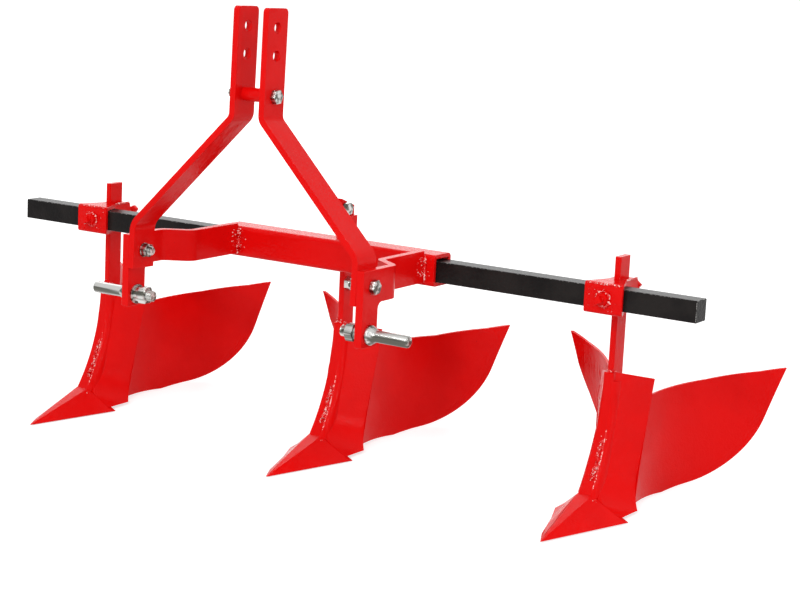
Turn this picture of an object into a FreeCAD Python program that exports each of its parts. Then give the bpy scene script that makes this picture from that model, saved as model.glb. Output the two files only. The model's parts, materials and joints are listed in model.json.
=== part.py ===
"""Three-row ridger for the rear linkage of a compact tractor, as a parametric document.

Axes: +X is the machine's left-hand side, -Y is the direction of travel and +Z is up.
The machine is set out upright, with its origin under the middle of the toolbar, and then leant
back on its shares and wings as it stands on the ground.  Lengths are millimetres.
"""
import FreeCAD, Part
import math
import os
import re
import Sketcher
from FreeCAD import Vector

# ---------------------------------------------------------------- driving dimensions
SIZES = {
    # how the machine stands on the ground
    "stance": 5.5,                # degrees that it leans to the rear
    "share_dip": 5.6,             # of the side shares below the level the bodies are set out from
    "park_shift": 29.3,            # brings the middle of its length over the origin
    # toolbar and the square tube round its middle
    "bar_height": 402,            # centre of the toolbar above the level of the share tips
    "bar_width": 40,              # solid square bar
    "bar_length": 1545,
    "bar_corner": 1.5,
    "tube_width": 60,
    "tube_wall": 8,
    "tube_length": 490,
    "tube_corner": 9,
    "tube_lift": 2,               # the bar lies on the floor of the tube
    "row_spacing": 591,           # from one ridging body to the next
    "row_offset": 5,              # both side rows are clamped a little to the left
    # side arms, each one bent flat bar that ends in a hitch plate
    "arm_thickness": 15,
    "arm_width": 60,
    "arm_lift": 8,                # centre of the arm above the centre of the toolbar
    "arm_spacing": 447,           # over the outer faces, at the tube
    "hitch_spacing": 542,         # over the outer faces, at the hitch plates
    "joggle_start": 165,          # ahead of the toolbar
    "joggle_run": 33,
    "joggle_radius": 12,
    "arm_reach": 306,
    "tongue_width": 50,
    "tongue_depth": 99.5,          # below the centre of the toolbar
    "tongue_radius": 12,
    "plate_corner": 3,
    # lower hitch pins
    "pin_diameter": 22,
    "pin_reach": 84,              # beyond the hitch plate
    "pin_drop": 77,
    "collar_diameter": 36,
    "collar_edge": 6,
    "collar_length": 18,
    "pin_chamfer": 3,
    "stud_diameter": 20,
    "stud_reach": 42,             # inside the hitch plate
    "pin_nut_width": 30,
    "pin_nut_height": 17,
    "pin_washer_diameter": 37,
    "pin_washer_height": 13,
    # mast: two bent flat bars with the top link between them
    "mast_thickness": 12,
    "mast_width": 60,
    "mast_gap": 53,
    "mast_back": 30,              # behind the front end of the arms
    "mast_top": 477,              # heights above the centre of the toolbar
    "mast_upper_bend": 281,
    "mast_lower_bend": 61,
    "mast_foot": 26,              # below the centre of the toolbar
    "mast_lean": 1.5,             # degrees to the rear
    "mast_bend_radius": 14,       # inside the upper bend
    "mast_foot_bend_radius": 28,  # inside the lower bend
    "mast_corner": 9,
    "link_hole": 20,
    "link_hole_drop": 35,         # below the top of the mast
    "link_hole_step": 50,
    "spacer_rise": 39,            # above the upper bend
    "spacer_diameter": 25,
    "spacer_bore": 17,
    # bolts
    "bolt_diameter": 16,
    "bolt_play": 0.5,
    "bolt_head_width": 24,
    "bolt_head_height": 10,
    "bolt_tail": 8,
    "nut_height": 13,
    # side clamps
    "clamp_play": 0.4,
    "clamp_plate": 8,
    "clamp_width": 75,
    "clamp_taper_start": 24,
    "clamp_corner": 6,
    "socket_wall": 12,
    "socket_back": 10,
    "screw_diameter": 14,
    "screw_play": 0.2,
    "screw_head_width": 22,
    "front_screw_reach": 20,
    "rear_screw_reach": 36,
    "screw_head_height": 10,
    "screw_nut_height": 11,
    "rear_screw_lift": 8,
    # shanks
    "shank_thickness": 12,
    "shank_width": 40,
    "shank_top": 70,              # above the centre of the toolbar
    "shank_foot": 120,            # above the ground
    "shank_corner": 2,
    # bracket that carries the middle shank behind the tube
    "hanger_thickness": 10,
    "hanger_width": 44,
    "hanger_top": 104,
    "hanger_slope": 16,
    "hanger_foot": 28,
    "hanger_upper_bolt": 84,
    "hanger_lower_bolt": 62,
    # ridging bodies: the nose, a curved bar that grows wider downwards
    "nose_thickness": 8,
    "nose_top": 262,              # above the ground
    "nose_bend_height": 245,      # where the nose starts to curve forward
    "nose_radius": 345,
    "nose_sweep": 36,           # degrees of curve
    "nose_top_half_width": 9.5,
    "nose_foot_half_width": 16,
    "nose_edge": 2.5,
    # side plates, each bent once: a steep upper leg and a shallow lower leg that carries on
    # the slope of the share; set out from the line where the two legs would meet
    "side_thickness": 5,
    "side_across": 18,
    "side_ahead": 32.8,           # ahead of the front of the nose
    "side_up": 48.5,
    "side_flare": 38.5,           # degrees, seen from above
    "side_splay": 9.6,            # degrees, seen from the front
    "side_pitch": 75.8,           # degrees between the line of the bend and the upright
    "side_bend": 57.2,            # degrees
    "side_bend_radius": 85,
    "side_lower_leg": 90,
    "side_top": 222.6,            # corners of the outline, up the plate and along the bend
    "side_top_back": 55.3,
    "side_heel": 16.9,
    "side_heel_back": 64.9,
    "side_notch": 34.7,
    "side_notch_back": 24.8,
    "side_front_top": 216.7,
    "side_front": 31,
    # folded share, set out from its tip
    "share_length": 221.3,          # ahead of the front of the nose
    "share_crest_back": 165,
    "share_crest_height": 38,
    "share_crest_half_width": 14,
    "share_heel_back": 158,
    "share_heel_half_width": 86,
    "share_edge": 3,
    "share_depth": 12,
    # rolled wings, set out from the axis of the roll
    "wing_thickness": 5,
    "wing_roll_radius": 271.8,
    "wing_roll_across": 332.4,
    "wing_roll_back": 47.7,
    "wing_roll_height": 123.3,
    "wing_roll_yaw": 140.22,      # degrees
    "wing_roll_pitch": 3.3,      # degrees
    "wing_roll_roll": 6.44,      # degrees
    "wing_root_along": 165,        # corners of the outline, square to the axis and along it
    "wing_root_up": 102.1,
    "wing_brow_along": 20.9,
    "wing_brow_up": 98.8,
    "wing_lip_along": 82.7,
    "wing_lip_up": 103.4,
    "wing_tip_along": 127.5,
    "wing_tip_up": 109.8,
    "wing_corner_along": 43.2,
    "wing_corner_down": 108.2,
    "wing_belly_along": 120.5,
    "wing_belly_down": 90.5,
    "wing_keel_along": 129.2,
    "wing_keel_down": 96,
    "wing_foot_along": 214,
    "wing_foot_down": 80.2,
    "wing_corner_radius": 169,
    "wing_centre_drop": 10.25,    # of the upper edge on the middle body
}

DOC = FreeCAD.newDocument("Ridger")
SHEET = DOC.addObject("Spreadsheet::Sheet", "Sizes")
for row, (alias, number) in enumerate(SIZES.items(), start=1):
    SHEET.set("A%d" % row, alias)
    SHEET.set("B%d" % row, str(number))
    SHEET.setAlias("B%d" % row, alias)
DOC.recompute()


# ---------------------------------------------------------------- helpers
def linked(text):
    """Write each size named in an expression as a cell of the sheet."""
    return re.sub(r"[a-z][a-z_]+", lambda word: "Sizes." + word.group() if word.group() in SIZES
                  else word.group(), str(text))


def bind(thing, path, text):
    thing.setExpression(path, linked(text))


def place(thing, across="0", along="0", up="0", yaw="0", pitch="0", roll="0"):
    """Bind the whole placement: a point, and turns about Z, then Y, then X."""
    bind(thing, "Placement", "placement(vector(%s; %s; %s); rotation(%s; %s; %s))"
         % (across, along, up, yaw, pitch, roll))


def new_body(name, **where):
    body = DOC.addObject("PartDesign::Body", name)
    body.Label = name
    place(body, **where)
    return body


def new_sketch(body, role, name):
    sketch = body.newObject("Sketcher::SketchObject", name)
    plane = next(item for item in body.Origin.OriginFeatures if item.Role == role)
    sketch.AttachmentSupport = (plane, [""])
    sketch.MapMode = "FlatFace"
    return sketch


def hold(sketch, kind, geometry, point, text):
    """Hold one coordinate of a point at an expression of the sheet's sizes."""
    spot = sketch.getPoint(geometry, point)
    drawn = spot.x if kind == "DistanceX" else spot.y
    index = sketch.addConstraint(Sketcher.Constraint(kind, -1, 1, geometry, point, drawn))
    bind(sketch, "Constraints[%d]" % index, text)


def draw_outline(sketch, corners):
    """A closed outline of straight lines whose corners are pairs of expressions."""
    count = len(corners)
    rough = [Vector(number, (7 * number) % count, 0) for number in range(count)]
    for number in range(count):
        sketch.addGeometry(Part.LineSegment(rough[number], rough[(number + 1) % count]))
    for number in range(count):
        sketch.addConstraint(Sketcher.Constraint("Coincident", number, 2, (number + 1) % count, 1))
    for number, (across, up) in enumerate(corners):
        hold(sketch, "DistanceX", number, 1, across)
        hold(sketch, "DistanceY", number, 1, up)


def draw_circle(sketch, across, up, diameter):
    circle = sketch.addGeometry(Part.Circle(Vector(0, 0, 0), Vector(0, 0, 1), 5))
    radius = sketch.addConstraint(Sketcher.Constraint("Radius", circle, 5.0))
    bind(sketch, "Constraints[%d]" % radius, "(%s) / 2" % diameter)
    hold(sketch, "DistanceX", circle, 3, across)
    hold(sketch, "DistanceY", circle, 3, up)


def rectangle(left, right, low, high):
    return [(left, low), (right, low), (right, high), (left, high)]


def pad(body, sketch, length, symmetric=True, backwards=False):
    feature = body.newObject("PartDesign::Pad", sketch.Name + "_pad")
    feature.Profile = sketch
    feature.SideType = "Symmetric" if symmetric else "One side"
    feature.Reversed = backwards
    bind(feature, "Length", length)
    DOC.recompute()
    return feature


def cut_through(body, sketch):
    """Pocket a sketch through everything on both sides, and see that it did cut."""
    before = body.Shape.Volume
    feature = body.newObject("PartDesign::Pocket", sketch.Name + "_cut")
    feature.Profile = sketch
    feature.Type = "ThroughAll"
    feature.SideType = "Symmetric"
    DOC.recompute()
    if body.Shape.Volume >= before:
        raise RuntimeError(sketch.Name + " cuts nothing")
    return feature


def long_edges(shape, axis, wanted=lambda edge: True):
    """Names of the straight edges that run along an axis and pass a test."""
    names = []
    for number, edge in enumerate(shape.Edges, start=1):
        straight = isinstance(edge.Curve, (Part.Line, Part.LineSegment))
        if straight and edge.tangentAt(edge.FirstParameter).cross(axis).Length < 1e-6 and wanted(edge):
            names.append("Edge%d" % number)
    return names


def fillet(body, base, names, radius):
    feature = body.newObject("PartDesign::Fillet", base.Name + "_fillet")
    feature.Base = (base, names)
    bind(feature, "Radius", radius)
    DOC.recompute()
    return feature


def chamfer(body, base, names, length):
    feature = body.newObject("PartDesign::Chamfer", base.Name + "_chamfer")
    feature.Base = (base, names)
    bind(feature, "Size", length)
    DOC.recompute()
    return feature


def bend_edges(shape, axis, hollow, wanted):
    """Edges along an axis where two walls meet at a bend, on its hollow or its full side."""
    names = []
    for number, edge in enumerate(shape.Edges, start=1):
        if not isinstance(edge.Curve, (Part.Line, Part.LineSegment)):
            continue
        if edge.tangentAt(edge.FirstParameter).cross(axis).Length > 1e-6:
            continue
        walls = [face for face in shape.Faces if any(edge.isSame(other) for other in face.Edges)]
        normals = [face.normalAt(0, 0) for face in walls]
        if len(walls) != 2 or abs(normals[0].dot(normals[1])) < 0.05:
            continue
        middle = edge.valueAt((edge.FirstParameter + edge.LastParameter) / 2)
        inward = [(face.CenterOfMass - middle).normalize() for face in walls]
        probe = middle + (inward[0] + inward[1]).normalize() * 0.5
        if shape.isInside(probe, 1e-4, False) != hollow and wanted(edge):
            names.append("Edge%d" % number)
    return names


def round_bend(body, base, axis, radius, thickness, wanted=lambda edge: True):
    """Round both sides of a bar's bends, inside to a radius and outside to one thickness more."""
    inside = fillet(body, base, bend_edges(base.Shape, axis, True, wanted), radius)
    return fillet(body, inside, bend_edges(inside.Shape, axis, False, wanted), radius + " + " + thickness)


def primitive(kind, name, **sizes):
    thing = DOC.addObject("Part::" + kind, name)
    for prop, text in sizes.items():
        bind(thing, prop, text)
    return thing


def fuse(name, pieces):
    thing = DOC.addObject("Part::MultiFuse", name)
    thing.Shapes = pieces
    thing.Refine = True
    return thing


def cut(name, base, tool):
    thing = DOC.addObject("Part::Cut", name)
    thing.Base = base
    thing.Tool = tool
    return thing


def hexagon(width):
    """Corners of a hexagon of a given width across its flats, with a corner at the top."""
    reach = "(%s) / sqrt(3)" % width
    flat = "(%s) / 2" % width
    return [("0", reach), (flat, reach + " / 2"), (flat, "0 - " + reach + " / 2"), ("0", "0 - " + reach),
            ("0 - " + flat, "0 - " + reach + " / 2"), ("0 - " + flat, reach + " / 2")]


NODES = []                        # the finished sub-parts, in the order they are made


def finish(thing, node):
    thing.Label = node
    NODES.append(thing)
    return thing


ALONG_X = Vector(1, 0, 0)
ALONG_Y = Vector(0, 1, 0)
ALONG_Z = Vector(0, 0, 1)
SIDES = (("left", 1), ("right", -1))


# ---------------------------------------------------------------- toolbar and tube
def make_toolbar():
    body = new_body("toolbar", up="bar_height")
    sketch = new_sketch(body, "YZ_Plane", "toolbar_section")
    half = "bar_width / 2"
    draw_outline(sketch, rectangle("0 - " + half, half, "0 - " + half, half))
    bar = pad(body, sketch, "bar_length")
    chamfer(body, bar, long_edges(bar.Shape, ALONG_X), "bar_corner")
    finish(body, "toolbar")


def make_centre_tube():
    body = new_body("centre_tube", up="bar_height + tube_lift")
    sketch = new_sketch(body, "YZ_Plane", "tube_section")
    half = "tube_width / 2"
    draw_outline(sketch, rectangle("0 - " + half, half, "0 - " + half, half))
    block = pad(body, sketch, "tube_length")
    fillet(body, block, long_edges(block.Shape, ALONG_X), "tube_corner")
    bore = new_sketch(body, "YZ_Plane", "tube_bore")
    half = "(tube_width / 2 - tube_wall)"
    draw_outline(bore, rectangle("0 - " + half, half, "0 - " + half, half))
    cut_through(body, bore)
    finish(body, "centre_tube")


# ---------------------------------------------------------------- side arms and hitch plates
def make_hitch_arm(name, side):
    """A flat bar that leaves the tube, steps outwards and turns down into a tongue."""
    body = new_body("hitch_arm_" + name, up="bar_height + arm_lift")
    plan = new_sketch(body, "XY_Plane", "arm_plan_" + name)
    inner = "(arm_spacing / 2 - arm_thickness)"
    outer = "(arm_spacing / 2)"
    step = "((hitch_spacing - arm_spacing) / 2)"
    mitre = "(arm_thickness * tan(atan(%s / joggle_run) / 2))" % step
    start = "(0 - joggle_start)"
    back = "(0 - tube_width / 2)"
    corners = [(outer, back), (outer, start), (outer + " + " + step, start + " - joggle_run"),
               (outer + " + " + step, "0 - arm_reach"), (inner + " + " + step, "0 - arm_reach"),
               (inner + " + " + step, start + " - joggle_run - " + mitre),
               (inner, start + " - " + mitre), (inner, back)]
    draw_outline(plan, [("%d * (%s)" % (side, across), along) for across, along in corners])
    bar = pad(body, plan, "arm_width")
    round_bend(body, bar, ALONG_Z, "joggle_radius", "arm_thickness")

    tongue = new_sketch(body, "YZ_Plane", "tongue_" + name)
    middle = "%d * (hitch_spacing / 2 - arm_thickness / 2)" % side
    bind(tongue, "AttachmentOffset", "placement(vector(0; 0; %s); rotation(0; 0; 0))" % middle)
    front = "0 - arm_reach"
    rear = "tongue_width - arm_reach"
    draw_outline(tongue, rectangle(front, rear, "0 - tongue_depth - arm_lift", "0"))
    drop = pad(body, tongue, "arm_thickness")
    inside = long_edges(drop.Shape, ALONG_X, lambda edge: abs(
        edge.CenterOfMass.y - SIZES["tongue_width"] + SIZES["arm_reach"]) < 1e-6
        and edge.CenterOfMass.z > -SIZES["arm_width"])
    web = fillet(body, drop, inside, "tongue_radius")
    corners = long_edges(web.Shape, ALONG_X, lambda edge: edge.CenterOfMass.z < -SIZES["arm_width"])
    fillet(body, web, corners, "plate_corner")

    holes = new_sketch(body, "YZ_Plane", "arm_holes_" + name)
    draw_circle(holes, "tongue_width / 2 - arm_reach", "0 - pin_drop - arm_lift", "stud_diameter + bolt_play")
    draw_circle(holes, "mast_back - arm_reach", "0", "bolt_diameter + bolt_play")
    cut_through(body, holes)
    finish(body, "hitch_arm_" + name)


# ---------------------------------------------------------------- hitch pins
def make_hitch_pin(name, side):
    """Stud, collar and pin turned in one piece, with its axis along X."""
    along = "tongue_width / 2 - arm_reach"
    plate = "hitch_spacing / 2"
    body = new_body("hitch_pin_" + name, across="%d * %s" % (side, plate), along=along,
                    up="bar_height - pin_drop", yaw="0" if side > 0 else "180")
    sketch = new_sketch(body, "XZ_Plane", "pin_profile_" + name)
    draw_outline(sketch, [
        ("0 - arm_thickness - stud_reach", "0"), ("0 - arm_thickness - stud_reach", "stud_diameter / 2"),
        ("0", "stud_diameter / 2"), ("0", "collar_diameter / 2"), ("collar_edge", "collar_diameter / 2"),
        ("collar_length", "pin_diameter / 2"), ("pin_reach - pin_chamfer", "pin_diameter / 2"),
        ("pin_reach", "pin_diameter / 2 - pin_chamfer"), ("pin_reach", "0")])
    turned = body.newObject("PartDesign::Revolution", "pin_turned_" + name)
    turned.Profile = sketch
    turned.ReferenceAxis = (next(item for item in body.Origin.OriginFeatures if item.Role == "X_Axis"), [""])
    turned.Angle = 360
    DOC.recompute()
    finish(body, "hitch_pin_" + name)

    nut = new_body("hitch_pin_nut_" + name, across="%d * (%s - arm_thickness)" % (side, plate), along=along,
                   up="bar_height - pin_drop", yaw="180" if side > 0 else "0")
    washer = new_sketch(nut, "YZ_Plane", "pin_washer_" + name)
    draw_circle(washer, "0", "0", "pin_washer_diameter")
    pad(nut, washer, "pin_washer_height", symmetric=False)
    hexed = new_sketch(nut, "YZ_Plane", "pin_hexagon_" + name)
    draw_outline(hexed, hexagon("pin_nut_width"))
    pad(nut, hexed, "pin_washer_height + pin_nut_height", symmetric=False)
    bore = new_sketch(nut, "YZ_Plane", "pin_nut_bore_" + name)
    draw_circle(bore, "0", "0", "stud_diameter")
    cut_through(nut, bore)
    finish(nut, "hitch_pin_nut_" + name)


# ---------------------------------------------------------------- bolts with their heads
def make_bolt(node, grip, nut=None, tail="nut_height + bolt_tail", **where):
    """A hexagon bolt along X: head outside at x = 0, and past the grip its tail with a nut."""
    body = new_body(node, **where)
    rod = new_sketch(body, "YZ_Plane", node + "_rod")
    draw_circle(rod, "0", "0", "bolt_diameter")
    pad(body, rod, "(%s) + %s" % (grip, tail), symmetric=False, backwards=True)
    head = new_sketch(body, "YZ_Plane", node + "_head")
    draw_outline(head, hexagon("bolt_head_width"))
    pad(body, head, "bolt_head_height", symmetric=False)
    if nut is None and tail != "0":
        end = new_sketch(body, "YZ_Plane", node + "_nut")
        bind(end, "AttachmentOffset", "placement(vector(0; 0; 0 - (%s)); rotation(0; 0; 0))" % grip)
        draw_outline(end, hexagon("bolt_head_width"))
        pad(body, end, "nut_height", symmetric=False, backwards=True)
    finish(body, node)
    if nut is not None:
        ring = new_body(nut, **where)
        outline = new_sketch(ring, "YZ_Plane", nut + "_outline")
        bind(outline, "AttachmentOffset", "placement(vector(0; 0; 0 - (%s)); rotation(0; 0; 0))" % grip)
        draw_outline(outline, hexagon("bolt_head_width"))
        pad(ring, outline, "nut_height", symmetric=False, backwards=True)
        bore = new_sketch(ring, "YZ_Plane", nut + "_bore")
        draw_circle(bore, "0", "0", "bolt_diameter")
        cut_through(ring, bore)
        finish(ring, nut)


# ---------------------------------------------------------------- mast
MAST_FOOT_HEIGHT = "bar_height + arm_lift"      # the mast is set out from its foot bolts


def mast_height(height):
    """A height above the toolbar, measured along the leaning mast from its foot bolts."""
    return "(%s - arm_lift)" % height


def make_mast_bar(name, side):
    body = new_body("mast_bar_" + name, along="mast_back - arm_reach", up=MAST_FOOT_HEIGHT,
                    roll="0 - mast_lean")
    front = new_sketch(body, "XZ_Plane", "mast_front_" + name)
    foot_outer = "(hitch_spacing / 2 - arm_thickness)"
    foot_inner = "(%s - mast_thickness)" % foot_outer
    top_inner = "(mast_gap / 2)"
    top_outer = "(%s + mast_thickness)" % top_inner
    upper = mast_height("mast_upper_bend")
    lower = mast_height("mast_lower_bend")
    mitre = "(mast_thickness * tan(atan((%s - %s) / (mast_upper_bend - mast_lower_bend)) / 2))" % (
        foot_outer, top_outer)
    foot = "(0 - mast_foot - arm_lift)"
    top = mast_height("mast_top")
    corners = [(foot_outer, foot), (foot_outer, lower), (top_outer, upper), (top_outer, top),
               (top_inner, top), (top_inner, upper + " - " + mitre), (foot_inner, lower + " - " + mitre),
               (foot_inner, foot)]
    draw_outline(front, [("%d * (%s)" % (side, across), height) for across, height in corners])
    bar = pad(body, front, "mast_width")
    halfway = (SIZES["mast_upper_bend"] + SIZES["mast_lower_bend"]) / 2
    high = round_bend(body, bar, ALONG_Y, "mast_bend_radius", "mast_thickness",
                      lambda edge: edge.CenterOfMass.z > halfway)
    low = round_bend(body, high, ALONG_Y, "mast_foot_bend_radius", "mast_thickness",
                     lambda edge: edge.CenterOfMass.z < halfway)
    ends = long_edges(low.Shape, ALONG_X, lambda edge: edge.CenterOfMass.z > halfway)
    fillet(body, low, ends, "mast_corner")
    holes = new_sketch(body, "YZ_Plane", "mast_holes_" + name)
    draw_circle(holes, "0", mast_height("mast_top - link_hole_drop"), "link_hole")
    draw_circle(holes, "0", mast_height("mast_top - link_hole_drop - link_hole_step"), "link_hole")
    draw_circle(holes, "0", mast_height("mast_upper_bend + spacer_rise"), "bolt_diameter + bolt_play")
    draw_circle(holes, "0", "0", "bolt_diameter + bolt_play")
    cut_through(body, holes)
    finish(body, "mast_bar_" + name)


def make_mast_spacer():
    lean_shift = "sin(mast_lean) * " + mast_height("mast_upper_bend + spacer_rise")
    lean_rise = "cos(mast_lean) * " + mast_height("mast_upper_bend + spacer_rise")
    where = dict(along="mast_back - arm_reach + " + lean_shift, up=MAST_FOOT_HEIGHT + " + " + lean_rise,
                 roll="0 - mast_lean")
    body = new_body("mast_spacer", **where)
    ring = new_sketch(body, "YZ_Plane", "spacer_outline")
    draw_circle(ring, "0", "0", "spacer_diameter")
    pad(body, ring, "mast_gap")
    bore = new_sketch(body, "YZ_Plane", "spacer_bore_outline")
    draw_circle(bore, "0", "0", "spacer_bore")
    cut_through(body, bore)
    finish(body, "mast_spacer")
    make_bolt("mast_bolt", "mast_gap + 2 * mast_thickness", nut="mast_nut",
              across="mast_gap / 2 + mast_thickness", **where)


# ---------------------------------------------------------------- side clamps
def row_middle(name):
    """Where a row stands across the machine."""
    return {"left": "(row_offset + row_spacing)", "centre": "0", "right": "(row_offset - row_spacing)"}[name]


def make_clamp(name):
    """A wrap round the toolbar that narrows to a socket for the shank behind it."""
    where = dict(across=row_middle(name), up="bar_height")
    front = "(0 - bar_width / 2 - clamp_play - clamp_plate)"
    back = "(bar_width / 2 + 3 * clamp_play + shank_width + socket_back)"
    wide = "(clamp_width / 2)"
    narrow = "(shank_thickness / 2 + clamp_play + socket_wall)"
    body = new_body("clamp_" + name, **where)
    plan = new_sketch(body, "XY_Plane", "clamp_plan_" + name)
    right_half = [(wide, front), (wide, "0 - clamp_taper_start"), (narrow, "clamp_taper_start"),
                  (narrow, back)]
    left_half = [("0 - " + across, along) for across, along in reversed(right_half)]
    draw_outline(plan, right_half + left_half)
    block = pad(body, plan, "bar_width + 2 * clamp_play + 2 * clamp_plate")
    fillet(body, block, long_edges(block.Shape, ALONG_X), "clamp_corner")
    passage = new_sketch(body, "YZ_Plane", "clamp_passage_" + name)
    half = "(bar_width / 2 + clamp_play)"
    draw_outline(passage, rectangle("0 - " + half, half, "0 - " + half, half))
    cut_through(body, passage)
    slot = new_sketch(body, "XY_Plane", "clamp_slot_" + name)
    side_gap = "(shank_thickness / 2 + clamp_play)"
    draw_outline(slot, rectangle("0 - " + side_gap, side_gap, "bar_width / 2 + clamp_play",
                                 "bar_width / 2 + 3 * clamp_play + shank_width"))
    cut_through(body, slot)
    drill = new_sketch(body, "XZ_Plane", "clamp_drill_" + name)
    draw_circle(drill, "0", "0", "screw_diameter + 2 * screw_play")
    front_hole = body.newObject("PartDesign::Pocket", "clamp_front_hole_" + name)
    front_hole.Profile = drill
    bind(front_hole, "Length", "clamp_width")
    front_hole.Reversed = True
    rear_drill = new_sketch(body, "XZ_Plane", "clamp_rear_drill_" + name)
    draw_circle(rear_drill, "0", "rear_screw_lift", "screw_diameter + 2 * screw_play")
    rear_hole = body.newObject("PartDesign::Pocket", "clamp_rear_hole_" + name)
    rear_hole.Profile = rear_drill
    bind(rear_hole, "Length", "2 * clamp_width")
    DOC.recompute()
    finish(body, "clamp_" + name)

    make_screw("clamp_front_screw_" + name, "clamp_plate", "front_screw_reach",
               across=where["across"], along=front, up="bar_height", yaw="0 - 90")
    make_screw("clamp_rear_screw_" + name, "socket_back", "rear_screw_reach",
               across=where["across"], along=back, up="bar_height + rear_screw_lift", yaw="90")


def make_screw(node, grip, reach, **where):
    """A set screw along X with a locking nut on the wall and its head further out."""
    body = new_body(node, **where)
    rod = new_sketch(body, "YZ_Plane", node + "_rod")
    draw_circle(rod, "0", "0", "screw_diameter")
    inside = "(%s)" % grip
    bind(rod, "AttachmentOffset", "placement(vector(0; 0; 0 - %s); rotation(0; 0; 0))" % inside)
    pad(body, rod, "%s + %s" % (inside, reach), symmetric=False)
    nut = new_sketch(body, "YZ_Plane", node + "_nut")
    draw_outline(nut, hexagon("screw_head_width"))
    pad(body, nut, "screw_nut_height", symmetric=False)
    head = new_sketch(body, "YZ_Plane", node + "_head")
    bind(head, "AttachmentOffset",
         "placement(vector(0; 0; %s - screw_head_height / 2); rotation(0; 0; 0))" % reach)
    half = "(screw_diameter / 2)"
    draw_outline(head, rectangle("0 - " + half, half, "0 - " + half, half))
    pad(body, head, "screw_head_height", symmetric=False)
    finish(body, node)


# ---------------------------------------------------------------- shanks
def shank_front(name):
    """Where a shank's front face lies: behind the tube in the middle, else behind the toolbar."""
    return "(tube_width / 2)" if name == "centre" else "(bar_width / 2 + 2 * clamp_play)"


def make_shank(name):
    body = new_body("shank_" + name, across=row_middle(name), along=shank_front(name))
    section = new_sketch(body, "XY_Plane", "shank_section_" + name)
    bind(section, "AttachmentOffset", "placement(vector(0; 0; shank_foot); rotation(0; 0; 0))")
    half = "(shank_thickness / 2)"
    draw_outline(section, rectangle("0 - " + half, half, "0", "shank_width"))
    bar = pad(body, section, "bar_height + shank_top - shank_foot", symmetric=False)
    chamfer(body, bar, long_edges(bar.Shape, ALONG_Z), "shank_corner")
    if name == "centre":
        hole = new_sketch(body, "YZ_Plane", "shank_hole")
        draw_circle(hole, "shank_width / 3", "bar_height - hanger_lower_bolt", "bolt_diameter + bolt_play")
        cut_through(body, hole)
    finish(body, "shank_" + name)


def make_hanger():
    """An upright plate welded behind the tube, with the middle shank bolted to its face."""
    face = "(0 - shank_thickness / 2)"
    body = new_body("hanger_plate", along=shank_front("centre"), up="bar_height")
    outline = new_sketch(body, "YZ_Plane", "hanger_outline")
    bind(outline, "AttachmentOffset",
         "placement(vector(0; 0; %s - hanger_thickness); rotation(0; 0; 0))" % face)
    draw_outline(outline, [("0", "0 - hanger_foot"), ("hanger_width", "0 - hanger_foot"),
                           ("hanger_width", "hanger_top - hanger_slope"), ("0", "hanger_top")])
    pad(body, outline, "hanger_thickness", symmetric=False)
    holes = new_sketch(body, "YZ_Plane", "hanger_holes")
    draw_circle(holes, "shank_width / 3", "hanger_upper_bolt", "bolt_diameter + bolt_play")
    cut_through(body, holes)
    finish(body, "hanger_plate")
    along = shank_front("centre") + " + shank_width / 3"
    make_bolt("hanger_bolt_upper", "hanger_thickness", across=face, along=along,
              up="bar_height + hanger_upper_bolt")
    make_bolt("hanger_bolt_lower", "shank_thickness", tail="0", across="0 - " + face, along=along,
              up="bar_height - hanger_lower_bolt")


# ---------------------------------------------------------------- ridging bodies
FAR = "400"                       # how far a shaping outline reaches past a piece


def nose_front(name):
    return "(%s - nose_thickness)" % shank_front(name)


def body_rise(name):
    """A body further to the rear stands on ground that the leant machine meets higher up."""
    return "((%s - %s) * tan(stance))" % (nose_front(name), nose_front("left"))


def frame_around(sketch, corners):
    """A wide frame round an outline, so that a pocket leaves only what is inside it."""
    draw_outline(sketch, rectangle("0 - " + FAR, FAR, "0 - " + FAR, FAR))
    first = sketch.GeometryCount
    count = len(corners)
    for number in range(count):
        sketch.addGeometry(Part.LineSegment(Vector(number, 0, 0), Vector(number + 1, number % 2, 0)))
    for number in range(count):
        sketch.addConstraint(Sketcher.Constraint("Coincident", first + number, 2,
                                                 first + (number + 1) % count, 1))
    for number, (across, up) in enumerate(corners):
        hold(sketch, "DistanceX", first + number, 1, across)
        hold(sketch, "DistanceY", first + number, 1, up)


def folded_plate(drop):
    """A share's three outer faces, each carried down and back by the same step."""
    tip = Vector(0, 0, SIZES["share_edge"])
    crest = [Vector(side * SIZES["share_crest_half_width"], SIZES["share_crest_back"],
                    SIZES["share_crest_height"]) for side in (1, -1)]
    heel = [Vector(side * SIZES["share_heel_half_width"], SIZES["share_heel_back"], SIZES["share_edge"])
            for side in (1, -1)]
    outlines = [[tip, crest[0], crest[1]], [tip, heel[0], crest[0]], [tip, crest[1], heel[1]]]
    solids = [Part.Face(Part.makePolygon(outline + outline[:1])).extrude(drop) for outline in outlines]
    return solids[0].multiFuse(solids[1:]).removeSplitter()


def make_share(name, middle):
    """The share, and two thick copies of it: one below its outer faces, one above its inner faces."""
    step = Vector(0, SIZES["share_depth"], -SIZES["share_edge"])
    above = folded_plate(step * -10)
    above.translate(step)
    pieces = []
    for node, shape in (("share_", folded_plate(step)), ("share_below_", folded_plate(step * 4)),
                        ("share_above_", above)):
        plate = DOC.addObject("Part::Feature", node + name)
        plate.Shape = shape
        place(plate, across=middle, along="%s - share_length" % nose_front(name),
              up=body_rise(name) + " - share_dip", roll="stance")
        pieces.append(plate)
    finish(pieces[0], "share_" + name)
    return pieces


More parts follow.
